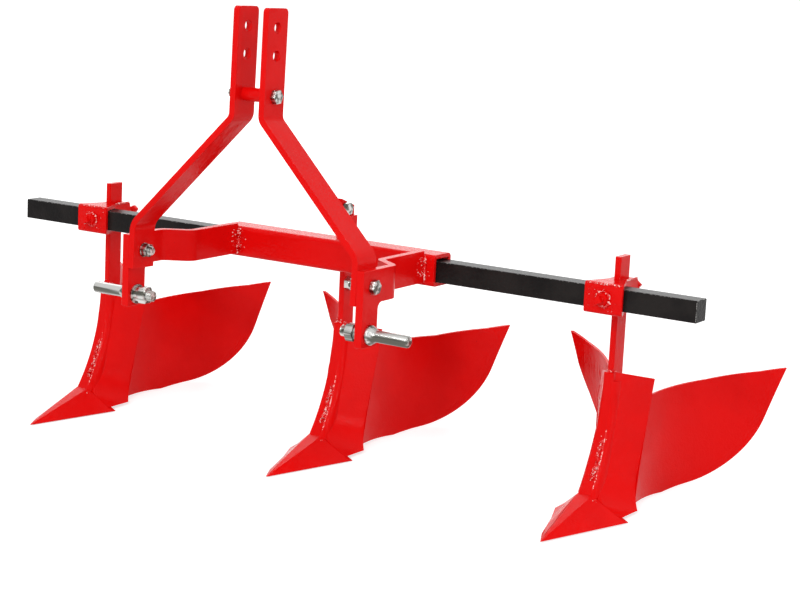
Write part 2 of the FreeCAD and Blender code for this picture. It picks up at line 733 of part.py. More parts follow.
def nose_profile(sketch):
    """The bar's upright part and curve seen from the side, front face at zero."""
    depths = [0, SIZES["nose_thickness"]]
    reach = SIZES["nose_radius"]
    height = SIZES["nose_top"] - SIZES["nose_bend_height"]
    sweep = math.radians(SIZES["nose_sweep"])
    centre = Vector(-reach, 0, 0)
    spoke = Vector(math.cos(sweep), -math.sin(sweep), 0)
    arcs = [Part.ArcOfCircle(Part.Circle(centre, ALONG_Z, reach + depth), -sweep, 0) for depth in depths]
    feet = [centre + spoke * (reach + depth) for depth in depths]
    heads = [Vector(depth, height, 0) for depth in depths]
    bends = [Vector(depth, 0, 0) for depth in depths]
    sketch.addGeometry([
        Part.LineSegment(heads[0], bends[0]), arcs[0], Part.LineSegment(feet[0], feet[1]), arcs[1],
        Part.LineSegment(bends[1], heads[1]), Part.LineSegment(heads[1], heads[0])])
    for one, end, other, start in ((0, 2, 1, 2), (1, 1, 2, 1), (2, 2, 3, 1), (3, 2, 4, 1), (4, 2, 5, 1),
                                   (5, 2, 0, 1)):
        sketch.addConstraint(Sketcher.Constraint("Coincident", one, end, other, start))
    for geometry, point, across, up in (
            (0, 1, "0", "nose_top - nose_bend_height"), (0, 2, "0", "0"), (1, 3, "0 - nose_radius", "0"),
            (3, 3, "0 - nose_radius", "0"), (4, 1, "nose_thickness", "0"),
            (4, 2, "nose_thickness", "nose_top - nose_bend_height")):
        hold(sketch, "DistanceX", geometry, point, across)
        hold(sketch, "DistanceY", geometry, point, up)
    hold(sketch, "DistanceY", 1, 1, "0 - nose_radius * sin(nose_sweep)")
    hold(sketch, "DistanceY", 3, 1, "0 - (nose_radius + nose_thickness) * sin(nose_sweep)")


def make_nose(name, middle, below):
    """A bar that grows wider downwards, chamfered along its front and cut to sit on the share."""
    body = new_body("nose_bar_" + name, across=middle, along=nose_front(name),
                    up="nose_bend_height + " + body_rise(name))
    profile = new_sketch(body, "YZ_Plane", "nose_profile_" + name)
    nose_profile(profile)
    pad(body, profile, "4 * nose_foot_half_width")
    taper = new_sketch(body, "XZ_Plane", "nose_taper_" + name)
    high = "nose_top - nose_bend_height"
    low = "0 - nose_bend_height"
    frame_around(taper, [
        ("0 - nose_top_half_width", FAR + " / 2"), ("0 - nose_top_half_width", high),
        ("0 - nose_foot_half_width", low), ("nose_foot_half_width", low),
        ("nose_top_half_width", high), ("nose_top_half_width", FAR + " / 2")])
    tapered = cut_through(body, taper)
    names = []
    for number, edge in enumerate(tapered.Shape.Edges, start=1):
        point = edge.valueAt((edge.FirstParameter + edge.LastParameter) / 2)
        spoke = math.hypot(point.y + SIZES["nose_radius"], min(point.z, 0))
        if edge.Length > SIZES["nose_thickness"] * 1.5 and abs(spoke - SIZES["nose_radius"]) < 1e-3:
            names.append("Edge%d" % number)
    chamfer(body, tapered, names, "nose_edge")
    finish(cut("nose_cut_" + name, body, below), "nose_" + name)


def ahead_of_nose(name, middle):
    """Everything in front of the back of the nose, to shape the front edges of the side plates."""
    roll = primitive("Cylinder", "nose_roll_" + name, Radius="nose_radius + nose_thickness", Height=FAR)
    place(roll, across="%s - %s / 2" % (middle, FAR), along=nose_front(name) + " - nose_radius",
          up="nose_bend_height + " + body_rise(name), pitch="90")
    block = primitive("Box", "nose_block_" + name, Length=FAR, Width=FAR, Height=FAR)
    place(block, across="%s - %s / 2" % (middle, FAR),
          along="%s + nose_thickness - %s" % (nose_front(name), FAR), up="nose_bend_height + " + body_rise(name))
    return [roll, block]


def side_frame(name, side, middle):
    """Where the two legs of a side plate would meet: X faces outwards and Z runs along the bend."""
    return dict(across="%s + %d * side_across" % (middle, side), along=nose_front(name) + " - side_ahead",
                up="side_up + " + body_rise(name), yaw="%d * side_flare" % -side,
                pitch="%d * side_splay" % -side, roll="side_pitch")


SIDE_OUTLINE = [
    ("side_top", "0 - side_top_back"), ("0 - side_heel", "0 - side_heel_back"),
    ("0 - side_notch", "0 - side_notch_back"), ("0 - side_notch", "side_front"),
    ("side_front_top", "side_front")]


def make_side_plate(name, label, side, middle, tools):
    """A bent plate from the nose to the wing, and a thick copy that shapes the wing's edge."""
    where = side_frame(name, side, middle)
    key = "%s_%s" % (name, label)
    body = new_body("side_blank_" + key, **where)
    fold = new_sketch(body, "XY_Plane", "side_fold_" + key)
    foot = ("side_lower_leg * sin(side_bend)", "0 - side_lower_leg * cos(side_bend)")
    corners = [("0", "side_top + 10"), ("0", "0"), foot,
               (foot[0] + " - side_thickness * cos(side_bend)", foot[1] + " - side_thickness * sin(side_bend)"),
               ("0 - side_thickness", "0 - side_thickness * tan(side_bend / 2)"),
               ("0 - side_thickness", "side_top + 10")]
    draw_outline(fold, [("%d * (%s)" % (side, out), up) for out, up in corners])
    sheet = pad(body, fold, FAR + " / 2")
    round_bend(body, sheet, ALONG_Z, "side_bend_radius", "side_thickness")
    outline = new_sketch(body, "YZ_Plane", "side_outline_" + key)
    frame_around(outline, SIDE_OUTLINE)
    cut_through(body, outline)
    beyond = primitive("Box", "side_beyond_" + key, Length=FAR, Width="2 * " + FAR, Height="2 * " + FAR)
    place(beyond, across="%s - %s" % (middle, FAR if side > 0 else "0"), along="0 - " + FAR, up="0 - " + FAR)
    finish(cut("side_cut_" + key, body, fuse("side_tools_" + key, tools + [beyond])), "side_plate_" + key)
    slab = new_body("side_slab_" + key, **where)
    thick = new_sketch(slab, "YZ_Plane", "side_slab_outline_" + key)
    draw_outline(thick, SIDE_OUTLINE)
    pad(slab, thick, FAR + " / 5")
    return slab


def make_wing(name, label, side, middle, slab):
    """A piece of a rolled sheet, cut to its outline and to the rear edge of the side plate."""
    key = "%s_%s" % (name, label)
    body = new_body("wing_roll_" + key, across="%s + %d * wing_roll_across" % (middle, side),
                    along=nose_front(name) + " + wing_roll_back", up="wing_roll_height + " + body_rise(name),
                    yaw="%d * wing_roll_yaw" % side, pitch="%d * wing_roll_pitch" % -side,
                    roll="0 - wing_roll_roll")
    ring = new_sketch(body, "XY_Plane", "wing_ring_" + key)
    draw_circle(ring, "0", "0", "2 * wing_roll_radius")
    draw_circle(ring, "0", "0", "2 * (wing_roll_radius + wing_thickness)")
    pad(body, ring, FAR)
    spare = new_sketch(body, "XY_Plane", "wing_spare_" + key)
    near = "%d * wing_roll_radius / 3" % side
    far = "%d * 2 * wing_roll_radius" % -side
    draw_outline(spare, rectangle(near, far, "0 - 2 * wing_roll_radius", "2 * wing_roll_radius"))
    cut_through(body, spare)
    outline = new_sketch(body, "YZ_Plane", "wing_outline_" + key)
    drop = " - wing_centre_drop" if name == "centre" else ""
    frame_around(outline, [
        ("wing_root_along", "wing_root_up"), ("wing_brow_along", "wing_brow_up" + drop),
        ("0 - wing_lip_along", "wing_lip_up" + drop), ("0 - wing_tip_along", "wing_tip_up" + drop),
        ("0 - wing_corner_along", "0 - wing_corner_down"), ("wing_belly_along", "0 - wing_belly_down"),
        ("wing_keel_along", "0 - wing_keel_down"), ("wing_foot_along", "0 - wing_foot_down")])
    trimmed = cut_through(body, outline)
    corner = long_edges(trimmed.Shape, ALONG_X, lambda edge: abs(
        edge.CenterOfMass.z + SIZES["wing_corner_down"]) < 1e-3)
    fillet(body, trimmed, corner, "wing_corner_radius")
    finish(cut("wing_cut_" + key, body, slab), "wing_" + key)


def make_row(name):
    """Nose, share, two side plates and two wings round the foot of one shank."""
    middle = row_middle(name)
    share, below, above = make_share(name, middle)
    DOC.recompute()
    make_nose(name, middle, below)
    stem = primitive("Box", "shank_room_" + name, Length="shank_thickness", Width="shank_width", Height=FAR)
    place(stem, across=middle + " - shank_thickness / 2", along=shank_front(name), up="shank_foot")
    tools = ahead_of_nose(name, middle) + [above, share, stem]
    for label, side in SIDES:
        slab = make_side_plate(name, label, side, middle, tools)
        make_wing(name, label, side, middle, slab)


DOC.recompute()
make_toolbar()
make_centre_tube()
for label, side in SIDES:
    make_hitch_arm(label, side)
    make_hitch_pin(label, side)
    make_mast_bar(label, side)
    make_bolt("strut_bolt_" + label, "arm_thickness + mast_thickness", nut="strut_nut_" + label,
              across="%d * hitch_spacing / 2" % side, along="mast_back - arm_reach", up=MAST_FOOT_HEIGHT,
              yaw="0" if side > 0 else "180")
    make_clamp(label)
    make_shank(label)
make_mast_spacer()
make_shank("centre")
make_hanger()
for label in ("left", "centre", "right"):
    make_row(label)

DOC.recompute()
for thing in DOC.Objects:
    if "Invalid" in thing.State or "Error" in thing.State:
        raise RuntimeError("%s failed: %s" % (thing.Name, thing.State))
os.makedirs("parts", exist_ok=True)
stand = DOC.addObject("Part::Feature", "stand")
place(stand, along="0 - park_shift", up="share_dip * cos(stance) + (%s - share_length) * sin(stance)"
      % nose_front("left"), roll="0 - stance")
DOC.recompute()
for thing in NODES:
    shape = thing.Shape.copy()
    shape.Placement = stand.Placement.multiply(shape.Placement)
    if shape.isNull() or not shape.isValid() or len(shape.Solids) < 1:
        raise RuntimeError("%s has no sound shape" % thing.Label)
    shape.exportStep("parts/%s.step" % thing.Label)
    print("%-28s %2d solid %9.1f cm3" % (thing.Label, len(shape.Solids), shape.Volume / 1000))
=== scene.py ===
# %% [markdown]
# # A three-row ridger for a compact tractor
# The machine is a square toolbar with three ridging bodies, a mast of flat bars and two hitch pins.
# Its engineering solids come in first and are never moved.  They fix every size and every joint,
# and the cells below give them softened edges, welds, fasteners, paint, lamps and a camera.

# %% Load the engineering frame
import json
import math
import random

import bmesh
import bpy
from mathutils.bvhtree import BVHTree
from mathutils import Matrix, Vector

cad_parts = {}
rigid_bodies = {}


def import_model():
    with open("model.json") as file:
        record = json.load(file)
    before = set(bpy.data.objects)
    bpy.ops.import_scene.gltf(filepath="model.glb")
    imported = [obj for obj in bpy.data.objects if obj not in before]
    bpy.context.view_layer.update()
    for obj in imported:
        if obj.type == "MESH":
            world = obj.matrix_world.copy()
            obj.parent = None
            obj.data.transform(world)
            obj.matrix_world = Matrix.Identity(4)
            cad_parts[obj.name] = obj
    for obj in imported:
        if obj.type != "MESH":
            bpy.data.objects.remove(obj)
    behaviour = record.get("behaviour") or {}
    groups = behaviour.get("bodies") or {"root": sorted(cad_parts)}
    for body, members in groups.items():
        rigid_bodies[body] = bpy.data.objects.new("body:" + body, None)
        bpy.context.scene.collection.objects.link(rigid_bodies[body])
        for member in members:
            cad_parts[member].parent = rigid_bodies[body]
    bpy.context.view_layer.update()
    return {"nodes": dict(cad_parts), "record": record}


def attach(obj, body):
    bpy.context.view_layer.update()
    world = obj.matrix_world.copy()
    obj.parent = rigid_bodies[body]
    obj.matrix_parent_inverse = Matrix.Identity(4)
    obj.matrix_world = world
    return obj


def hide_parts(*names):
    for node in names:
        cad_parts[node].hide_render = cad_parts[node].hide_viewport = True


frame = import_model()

nodes = frame["nodes"]
body_of_node = {node: body for body, members in frame["record"]["behaviour"]["bodies"].items()
                for node in members}

# %% [markdown]
# ## The leaning machine
# The ridger stands leant back on its shares and wings, so its shanks and mast aren't upright.  Each
# weld and bolt could be placed where it ends up, but it is easier to set them all out in the
# machine's own upright millimetres and to turn them into place by one matrix.  The lean is measured:
# the depth joint slides along a shank, so the joint's axis gives the angle.

# %% Turn machine millimetres into places
depth_axis = next(Vector(joint["axis"]) for joint in frame["record"]["behaviour"]["joints"]
                  if joint["name"] == "tool_left_depth")
LEAN = math.atan2(depth_axis.y, depth_axis.z)
PARKED_BACK = -0.0293    # metres that the machine's own origin moves as it is leant back
PARKED_DOWN = -0.01441
MILLIMETRE = 0.001
MACHINE = (Matrix.Translation((0, PARKED_BACK, PARKED_DOWN)) @ Matrix.Rotation(-LEAN, 4, "X")
           @ Matrix.Scale(MILLIMETRE, 4))
UPRIGHT = MACHINE.inverted()
BAR_HEIGHT = 402         # millimetres, as all sizes in the machine's own frame are
ROW_MIDDLE = {"left": 596.0, "centre": 0.0, "right": -586.0}
ROW_BACK = {"left": 0.0, "centre": 9.2, "right": 0.0}    # the middle body hangs behind the tube
# A body further back stands on ground that the leant machine meets higher up.
ROW_RISE = {row: back * math.tan(LEAN) for row, back in ROW_BACK.items()}


def machine_place(across, along, up):
    return MACHINE @ Vector((across, along, up))


print("leans back", round(math.degrees(LEAN), 2), "degrees")

# %% [markdown]
# ## Camera
# A long lens stands well back from the machine's front left corner, a little above the toolbar.
# A camera could be aimed by three turns about its own axes, which are hard to read.  Here its
# direction is a compass angle and a height above the horizon, the lens is rolled a little, and the
# three axes that follow from those angles are the columns of its matrix.

# %% Place the camera
CAMERA_AZIMUTH, CAMERA_ELEVATION, CAMERA_ROLL = (
    math.radians(angle) for angle in (32.722, 15.346, -0.222))
CAMERA_PLACE = Vector((2.2008, -3.1804, 1.3560))
CAMERA_LENS = 93.1
FILM_WIDTH = 36
NEAREST_SEEN = 0.05

backward = Vector((math.sin(CAMERA_AZIMUTH) * math.cos(CAMERA_ELEVATION),
                   -math.cos(CAMERA_AZIMUTH) * math.cos(CAMERA_ELEVATION), math.sin(CAMERA_ELEVATION)))
level_right = Vector((math.cos(CAMERA_AZIMUTH), math.sin(CAMERA_AZIMUTH), 0))
level_up = backward.cross(level_right)
rolled_right = level_right * math.cos(CAMERA_ROLL) + level_up * math.sin(CAMERA_ROLL)
rolled_up = level_up * math.cos(CAMERA_ROLL) - level_right * math.sin(CAMERA_ROLL)
camera = bpy.data.objects.new("camera", bpy.data.cameras.new("camera"))
camera.data.lens = CAMERA_LENS
camera.data.sensor_width = FILM_WIDTH
camera.data.clip_start = NEAREST_SEEN
camera.matrix_world = Matrix.Translation(CAMERA_PLACE) @ Matrix(
    (rolled_right, rolled_up, backward)).transposed().to_4x4()
bpy.context.scene.collection.objects.link(camera)
bpy.context.scene.camera = camera
bpy.context.scene.view_settings.view_transform = "Standard"
print("camera", round((CAMERA_PLACE - machine_place(0, 0, BAR_HEIGHT)).length, 2), "m from the toolbar")

# %% [markdown]
# ## Shader groups
# Enamel, black paint and zinc share a few effects, such as a drift of colour and the fine ripple of
# sprayed paint.  Their nodes could be laid out again in every material.  A node group with named
# inputs is built once instead, and then a finish is a short list of groups and numbers.

# %% Helpers for node groups
def new_group(name, inputs, outputs):
    """An empty shader group with its sockets, and its two end nodes."""
    tree = bpy.data.node_groups.new(name, "ShaderNodeTree")
    for label, kind, value in inputs:
        socket = tree.interface.new_socket(label, in_out="INPUT", socket_type="NodeSocket" + kind)
        socket.default_value = value
    for label, kind in outputs:
        tree.interface.new_socket(label, in_out="OUTPUT", socket_type="NodeSocket" + kind)
    return tree, tree.nodes.new("NodeGroupInput"), tree.nodes.new("NodeGroupOutput")


def add_node(tree, kind, **settings):
    node = tree.nodes.new("ShaderNode" + kind)
    for label, value in settings.items():
        setattr(node, label, value)
    return node


def feed(tree, value, socket):
    """Link another node's socket into this one, or set it to a plain value."""
    if isinstance(value, bpy.types.NodeSocket):
        tree.links.new(value, socket)
    else:
        socket.default_value = value


def calculate(tree, operation, one, two=0.0):
    node = add_node(tree, "Math", operation=operation)
    feed(tree, one, node.inputs[0])
    feed(tree, two, node.inputs[1])
    return node.outputs[0]


def object_place(tree):
    return add_node(tree, "TexCoord").outputs["Object"]


def noise(tree, place, scale, detail, roughness=0.5):
    node = add_node(tree, "TexNoise")
    for label, value in (("Vector", place), ("Scale", scale), ("Detail", detail), ("Roughness", roughness)):
        feed(tree, value, node.inputs[label])
    return node.outputs["Fac"]


print("node helpers ready")

# %% [markdown]
# ## Colour drift and specks
# Paint is never one flat colour: where the coat is thick it is a little darker.  A painted picture
# could show that, but a noise on the piece's own coordinates needs no picture and never repeats.
# Specks are the same noise cut off at a high value, which leaves only its rare peaks.  On the
# enamel they are dark grit; on the welds they are pale painted glints.

# %% Build the drift and the specks
def remap(tree, value, low, high, to_low=0.0, to_high=1.0):
    """Stretch a range of values over another, with soft ends."""
    node = add_node(tree, "MapRange", interpolation_type="SMOOTHSTEP")
    for label, number in (("From Min", low), ("From Max", high), ("To Min", to_low), ("To Max", to_high)):
        node.inputs[label].default_value = number
    tree.links.new(value, node.inputs["Value"])
    return node.outputs["Result"]


def mix_colour(tree, factor, one, two):
    node = add_node(tree, "Mix", data_type="RGBA")
    for label, value in (("Factor", factor), ("A", one), ("B", two)):
        feed(tree, value, next(socket for socket in node.inputs if socket.name == label and socket.enabled))
    return next(socket for socket in node.outputs if socket.enabled)


def build_colour_drift():
    """Clouds that move a colour towards a second one, which is darker on the enamel."""
    tree, given, result = new_group(
        "colour_drift",
        [("Colour", "Color", (0.5, 0.5, 0.5, 1)), ("Darker", "Color", (0.4, 0.4, 0.4, 1)),
         ("Amount", "Float", 0.5), ("Scale", "Float", 6.0)],
        [("Colour", "Color"), ("Mask", "Float")])
    clouds = noise(tree, object_place(tree), given.outputs["Scale"], detail=4.0, roughness=0.6)
    cloud = remap(tree, clouds, low=0.35, high=0.70)
    strength = calculate(tree, "MULTIPLY", cloud, given.outputs["Amount"])
    drifted = mix_colour(tree, strength, given.outputs["Colour"], given.outputs["Darker"])
    feed(tree, drifted, result.inputs["Colour"])
    feed(tree, cloud, result.inputs["Mask"])
    return tree


def build_specks():
    """Rare small specks: on the enamel, grit that shows through a thin coat; on the welds, pale painted
    glints.
    """
    tree, given, result = new_group("grit_and_glint_specks", [("Scale", "Float", 400.0), ("Rarity", "Float", 0.8)],
                                    [("Mask", "Float")])
    fine = noise(tree, object_place(tree), given.outputs["Scale"], detail=1.0)
    feed(tree, calculate(tree, "GREATER_THAN", fine, given.outputs["Rarity"]), result.inputs["Mask"])
    return tree


COLOUR_DRIFT = build_colour_drift()
GRIT_AND_GLINT_SPECKS = build_specks()
print("groups", COLOUR_DRIFT.name, "and", GRIT_AND_GLINT_SPECKS.name)

# %% [markdown]
# ## Orange peel
# Sprayed paint dries with a dimpled skin like an orange's, and sags a little before it sets.  The
# dimples are far too shallow to model, so they are a height for a Bump node, which only tilts the
# light.  Two noises are added: a fine one for the dimples and a broad one for the sag.

# %% Build the orange peel
def build_orange_peel():
    """The dimpled skin of sprayed paint, as a height for a bump."""
    tree, given, result = new_group(
        "orange_peel", [("Dimple", "Float", 400.0), ("Sag", "Float", 30.0), ("Sag share", "Float", 0.5)],
        [("Height", "Float")])
    place = object_place(tree)
    fine = noise(tree, place, given.outputs["Dimple"], detail=2.0)
    broad = noise(tree, place, given.outputs["Sag"], detail=3.0)
    sagged = calculate(tree, "MULTIPLY", broad, given.outputs["Sag share"])
    feed(tree, calculate(tree, "ADD", fine, sagged), result.inputs["Height"])
    return tree


ORANGE_PEEL = build_orange_peel()
print("group", ORANGE_PEEL.name)

# %% [markdown]
# ## Worn edges of the bar
# Clamps are slid along the toolbar, so the black paint goes first on its four long edges.  Blender
# can find edges by their sharpness, but only while rendering.  The bar is a plain box, so its edges
# can be worked out from where a point lies in it, and that also survives an export.

# %% Build the worn edges
def build_bar_edges():
    """A mask along the edges of a square bar that lies on X, broken up as chipped paint is."""
    tree, given, result = new_group(
        "bar_edges", [("Place", "Vector", (0, 0, 0)), ("Half length", "Float", 0.77),
                      ("Half width", "Float", 0.02), ("Reach", "Float", 0.001)], [("Mask", "Float")])
    split = add_node(tree, "SeparateXYZ")
    feed(tree, given.outputs["Place"], split.inputs[0])
    depths = []
    for axis, label in zip("XYZ", ("Half length", "Half width", "Half width")):
        size = calculate(tree, "ABSOLUTE", split.outputs[axis])
        depths.append(calculate(tree, "SUBTRACT", given.outputs[label], size))
    # A point on an edge is near two of the three pairs of faces, so the middle depth is small.
    pairs = [calculate(tree, "MAXIMUM", depths[one], depths[two]) for one, two in ((0, 1), (1, 2), (0, 2))]
    least = calculate(tree, "MINIMUM", calculate(tree, "MINIMUM", pairs[0], pairs[1]), pairs[2])
    chips = noise(tree, given.outputs["Place"], scale=160.0, detail=4.0, roughness=0.7)
    ragged = remap(tree, chips, low=0.42, high=0.62, to_low=0.25, to_high=1.9)
    reach = calculate(tree, "MULTIPLY", ragged, given.outputs["Reach"])
    feed(tree, calculate(tree, "LESS_THAN", least, reach), result.inputs["Mask"])
    return tree


BAR_EDGES = build_bar_edges()
print("group", BAR_EDGES.name)

# %% [markdown]
# ## Red enamel
# The steelwork has glossy red enamel, sprayed over the welds as well.  A plain red Principled shader
# would look like plastic, so the colour drifts, the skin ripples and the shine changes with the
# drift.  The welds have their own mix of the same recipe, glossier and with pale specks painted into
# their colour: painted glints, for the light that catches on every drop.

# %% Mix the red enamel
ENAMEL_RED = (0.73, 0.0035, 0.0032, 1)
ENAMEL_THICK = (0.60, 0.0022, 0.0020, 1)
ENAMEL_SMOOTHEST, ENAMEL_ROUGHEST = 0.10, 0.20
DARK_GRIT = (0.20, 0.003, 0.003, 1)
# A pale pink for painted glints: highlights painted into the welds' colour as specks.
PAINTED_GLINT_PINK = (0.90, 0.50, 0.47, 1)


def place_group(tree, group, **values):
    """Put a shared effect into a finish; an underscore stands for a space in a socket's name."""
    node = tree.nodes.new("ShaderNodeGroup")
    node.node_tree = group
    for label, value in values.items():
        node.inputs[label.replace("_", " ")].default_value = value
    return node


def new_finish(name, roughness, metallic=0.0, specular=0.5):
    """A new material, with its node tree and its shader."""
    finish = bpy.data.materials.new(name)
    finish.use_nodes = True
    shader = finish.node_tree.nodes["Principled BSDF"]
    shader.inputs["Roughness"].default_value = roughness
    shader.inputs["Metallic"].default_value = metallic
    shader.inputs["Specular IOR Level"].default_value = specular
    return finish, finish.node_tree, shader


def ripple_skin(tree, shader, distance, **values):
    """Orange peel as a bump of a given height in metres."""
    bump = add_node(tree, "Bump")
    bump.inputs["Distance"].default_value = distance
    bump.inputs["Strength"].default_value = 1.0
    feed(tree, place_group(tree, ORANGE_PEEL, **values).outputs["Height"], bump.inputs["Height"])
    feed(tree, bump.outputs["Normal"], shader.inputs["Normal"])


def make_red_enamel(name, specular, speck, rarity, speck_scale):
    finish, tree, shader = new_finish(name, ENAMEL_SMOOTHEST, specular=specular)
    drift = place_group(tree, COLOUR_DRIFT, Colour=ENAMEL_RED, Darker=ENAMEL_THICK, Amount=0.55, Scale=7.0)
    specks = place_group(tree, GRIT_AND_GLINT_SPECKS, Scale=speck_scale, Rarity=rarity)
    speckled = mix_colour(tree, specks.outputs["Mask"], drift.outputs["Colour"], speck)
    feed(tree, speckled, shader.inputs["Base Color"])
    ripple_skin(tree, shader, distance=0.0005, Dimple=300.0, Sag=24.0, Sag_share=1.4)
    shine = remap(tree, drift.outputs["Mask"], low=0.0, high=1.0, to_low=ENAMEL_SMOOTHEST,
                  to_high=ENAMEL_ROUGHEST)
    feed(tree, shine, shader.inputs["Roughness"])
    return finish


RED = make_red_enamel("red_enamel", specular=0.065, speck=DARK_GRIT, rarity=0.80, speck_scale=420.0)
# The welds' pale specks are painted glints, where light would catch on each drop.
RED_WELD = make_red_enamel("red_enamel_on_welds", specular=0.5, speck=PAINTED_GLINT_PINK, rarity=0.58,
                           speck_scale=230.0)
print("finishes", RED.name, "and", RED_WELD.name)

# %% [markdown]
# ## Black paint
# The toolbar is black, with bare steel along its edges.  The edge mask expects a level bar, and this
# one leans with the machine.  Turning the bar would move its mesh, so a Mapping node turns the
# coordinates instead, about the middle of the bar.

# %% Mix the black paint
BAR_HALF_LENGTH = 0.7725
BAR_HALF_WIDTH = 0.020
BAR_BLACK = (0.007, 0.006, 0.006, 1)
BAR_DUSTY = (0.017, 0.014, 0.013, 1)
BARE_STEEL = (0.26, 0.25, 0.24, 1)


def make_black_paint():
    """Black paint whose pattern is turned with the bar, so that its four long edges are worn bare."""
    finish, tree, shader = new_finish("black_bar_paint", roughness=0.34, specular=0.09)
    drift = place_group(tree, COLOUR_DRIFT, Colour=BAR_BLACK, Darker=BAR_DUSTY, Amount=0.8, Scale=14.0)
    turned = add_node(tree, "Mapping", vector_type="TEXTURE")
    turned.inputs["Location"].default_value = machine_place(0, 0, BAR_HEIGHT)
    turned.inputs["Rotation"].default_value = (-LEAN, 0, 0)
    feed(tree, object_place(tree), turned.inputs["Vector"])
    worn = place_group(tree, BAR_EDGES, Half_length=BAR_HALF_LENGTH, Half_width=BAR_HALF_WIDTH, Reach=0.0006)
    feed(tree, turned.outputs["Vector"], worn.inputs["Place"])
    chipped = mix_colour(tree, worn.outputs["Mask"], drift.outputs["Colour"], BARE_STEEL)
    feed(tree, chipped, shader.inputs["Base Color"])
    ripple_skin(tree, shader, distance=0.0006, Dimple=240.0, Sag=60.0, Sag_share=1.6)
    return finish


BLACK = make_black_paint()
print("finish", BLACK.name)

# %% [markdown]
# ## Zinc plate
# Pins, bolts and nuts are zinc plated, a metal that shows what is round it.  A flat grey metal would
# look like a mirror.  A noise stretched along X gives the faint streaks that drawing and turning
# leave, and it drives both the colour and the shine, so the two agree.  The colour swings from dark
# to bright bands along each pin, which are painted reflections on top of the real streaks.

# %% Mix the zinc
STREAK_STRETCH = (5, 105, 105)
ZINC_PAINTED_DARK_BAND = (0.10, 0.10, 0.085, 1)
ZINC_PAINTED_BRIGHT_BAND = (0.60, 0.60, 0.58, 1)


def make_zinc():
    """Plated steel with streaks along X, the way the pins and bolts were drawn, and painted reflections as
    dark and bright bands in its colour.
    """
    finish, tree, shader = new_finish("zinc_plate", roughness=0.20, metallic=1.0)
    stretch = add_node(tree, "Mapping", vector_type="POINT")
    stretch.inputs["Scale"].default_value = STREAK_STRETCH
    feed(tree, object_place(tree), stretch.inputs["Vector"])
    streak_and_painted_band = noise(tree, stretch.outputs["Vector"], scale=1.0, detail=2.0)
    # The dark and bright bands are painted reflections; the faint streaks of drawing are real.
    plated = mix_colour(tree, remap(tree, streak_and_painted_band, low=0.38, high=0.60), ZINC_PAINTED_DARK_BAND, ZINC_PAINTED_BRIGHT_BAND)
    feed(tree, plated, shader.inputs["Base Color"])
    ripple_skin(tree, shader, distance=0.0002, Dimple=900.0, Sag=90.0, Sag_share=0.8)
    shine = remap(tree, streak_and_painted_band, low=0.3, high=0.7, to_low=0.16, to_high=0.32)
    feed(tree, shine, shader.inputs["Roughness"])
    return finish


ZINC = make_zinc()
print("finish", ZINC.name)

# %% [markdown]
# ## Painting the solids
# Each solid comes with the name of its material slot.  A finish could be chosen for every piece by
# hand, but the slots already say which is which, so one table turns a slot into a finish.

# %% Paint every node
FINISH_OF_SLOT = {"red_paint": RED, "black_bar": BLACK, "zinc_fastener": ZINC}
SLOT_OF_NODE = {entry["node"]: entry["material_slot"] for entry in frame["record"]["subparts"]}


def paint(piece, finish):
    piece.data.materials.clear()
    piece.data.materials.append(finish)


for node, piece in nodes.items():
    paint(piece, FINISH_OF_SLOT[SLOT_OF_NODE[node]])
print(len(nodes), "nodes painted")

# %% [markdown]
# ## Softened plates
# Flame-cut plate and rolled bar never have knife edges, and it is the rounded edge that catches
# the light.  A Bevel modifier would round every seam between triangles too.  Each flat piece is
# copied from its solid instead, its triangles are joined into whole faces, and only its sharp edges
# are bevelled.  Weighted normals keep the big faces flat.

# %% Round the edges of the frame's plates
JOIN_WITHIN = 0.00002              # metres between the corners of loose triangles
FLAT_WITHIN = math.radians(0.6)
SHARP_FROM = math.radians(25)
ROUNDING_STEPS = 3
PLATE_SMOOTH = 40                  # degrees up to which a bend is shaded as a curve
FRAME_EDGES = {"toolbar": 0.0008, "centre_tube": 0.001, "hanger_plate": 0.001}
SIDE_EDGES = {"hitch_arm_": 0.0016, "mast_bar_": 0.0014, "clamp_": 0.0012}


def finished_piece(name, shape, node, finish, smooth):
    """A painted object made of a bmesh, riding where a node rides."""
    mesh = bpy.data.meshes.new(name)
    shape.to_mesh(mesh)
    shape.free()
    piece = bpy.data.objects.new(name, mesh)
    bpy.context.scene.collection.objects.link(piece)
    mesh.shade_smooth()
    mesh.set_sharp_from_angle(angle=math.radians(smooth))
    paint(piece, finish)
    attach(piece, body_of_node[node])
    return piece


def soften(node, width, fit=None, score=None, smooth=PLATE_SMOOTH):
    """Stand a copy with rounded edges in for a node, fitted before or scored after the rounding."""
    shape = bmesh.new()
    shape.from_mesh(nodes[node].data)
    bmesh.ops.remove_doubles(shape, verts=shape.verts, dist=JOIN_WITHIN)
    if fit:
        fit(shape)
    bmesh.ops.dissolve_limit(shape, angle_limit=FLAT_WITHIN, verts=shape.verts, edges=shape.edges)
    edges = [edge for edge in shape.edges
             if len(edge.link_faces) == 2 and edge.calc_face_angle(0) > SHARP_FROM]
    bmesh.ops.bevel(shape, geom=edges, offset=width, offset_type="OFFSET", affect="EDGES",
                    segments=ROUNDING_STEPS, profile=0.5, material=-1, clamp_overlap=True)
    bmesh.ops.recalc_face_normals(shape, faces=shape.faces)
    if score:
        score(shape)
    piece = finished_piece(node + "_soft", shape, node, nodes[node].data.materials[0], smooth)
    weighted = piece.modifiers.new("flat_faces", "WEIGHTED_NORMAL")
    weighted.keep_sharp = True
    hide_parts(node)
    return piece


for side in ("left", "right"):
    FRAME_EDGES.update({plate + side: width for plate, width in SIDE_EDGES.items()})
for node, width in FRAME_EDGES.items():
    soften(node, width)
print(len(FRAME_EDGES), "plates and bars of the frame softened")

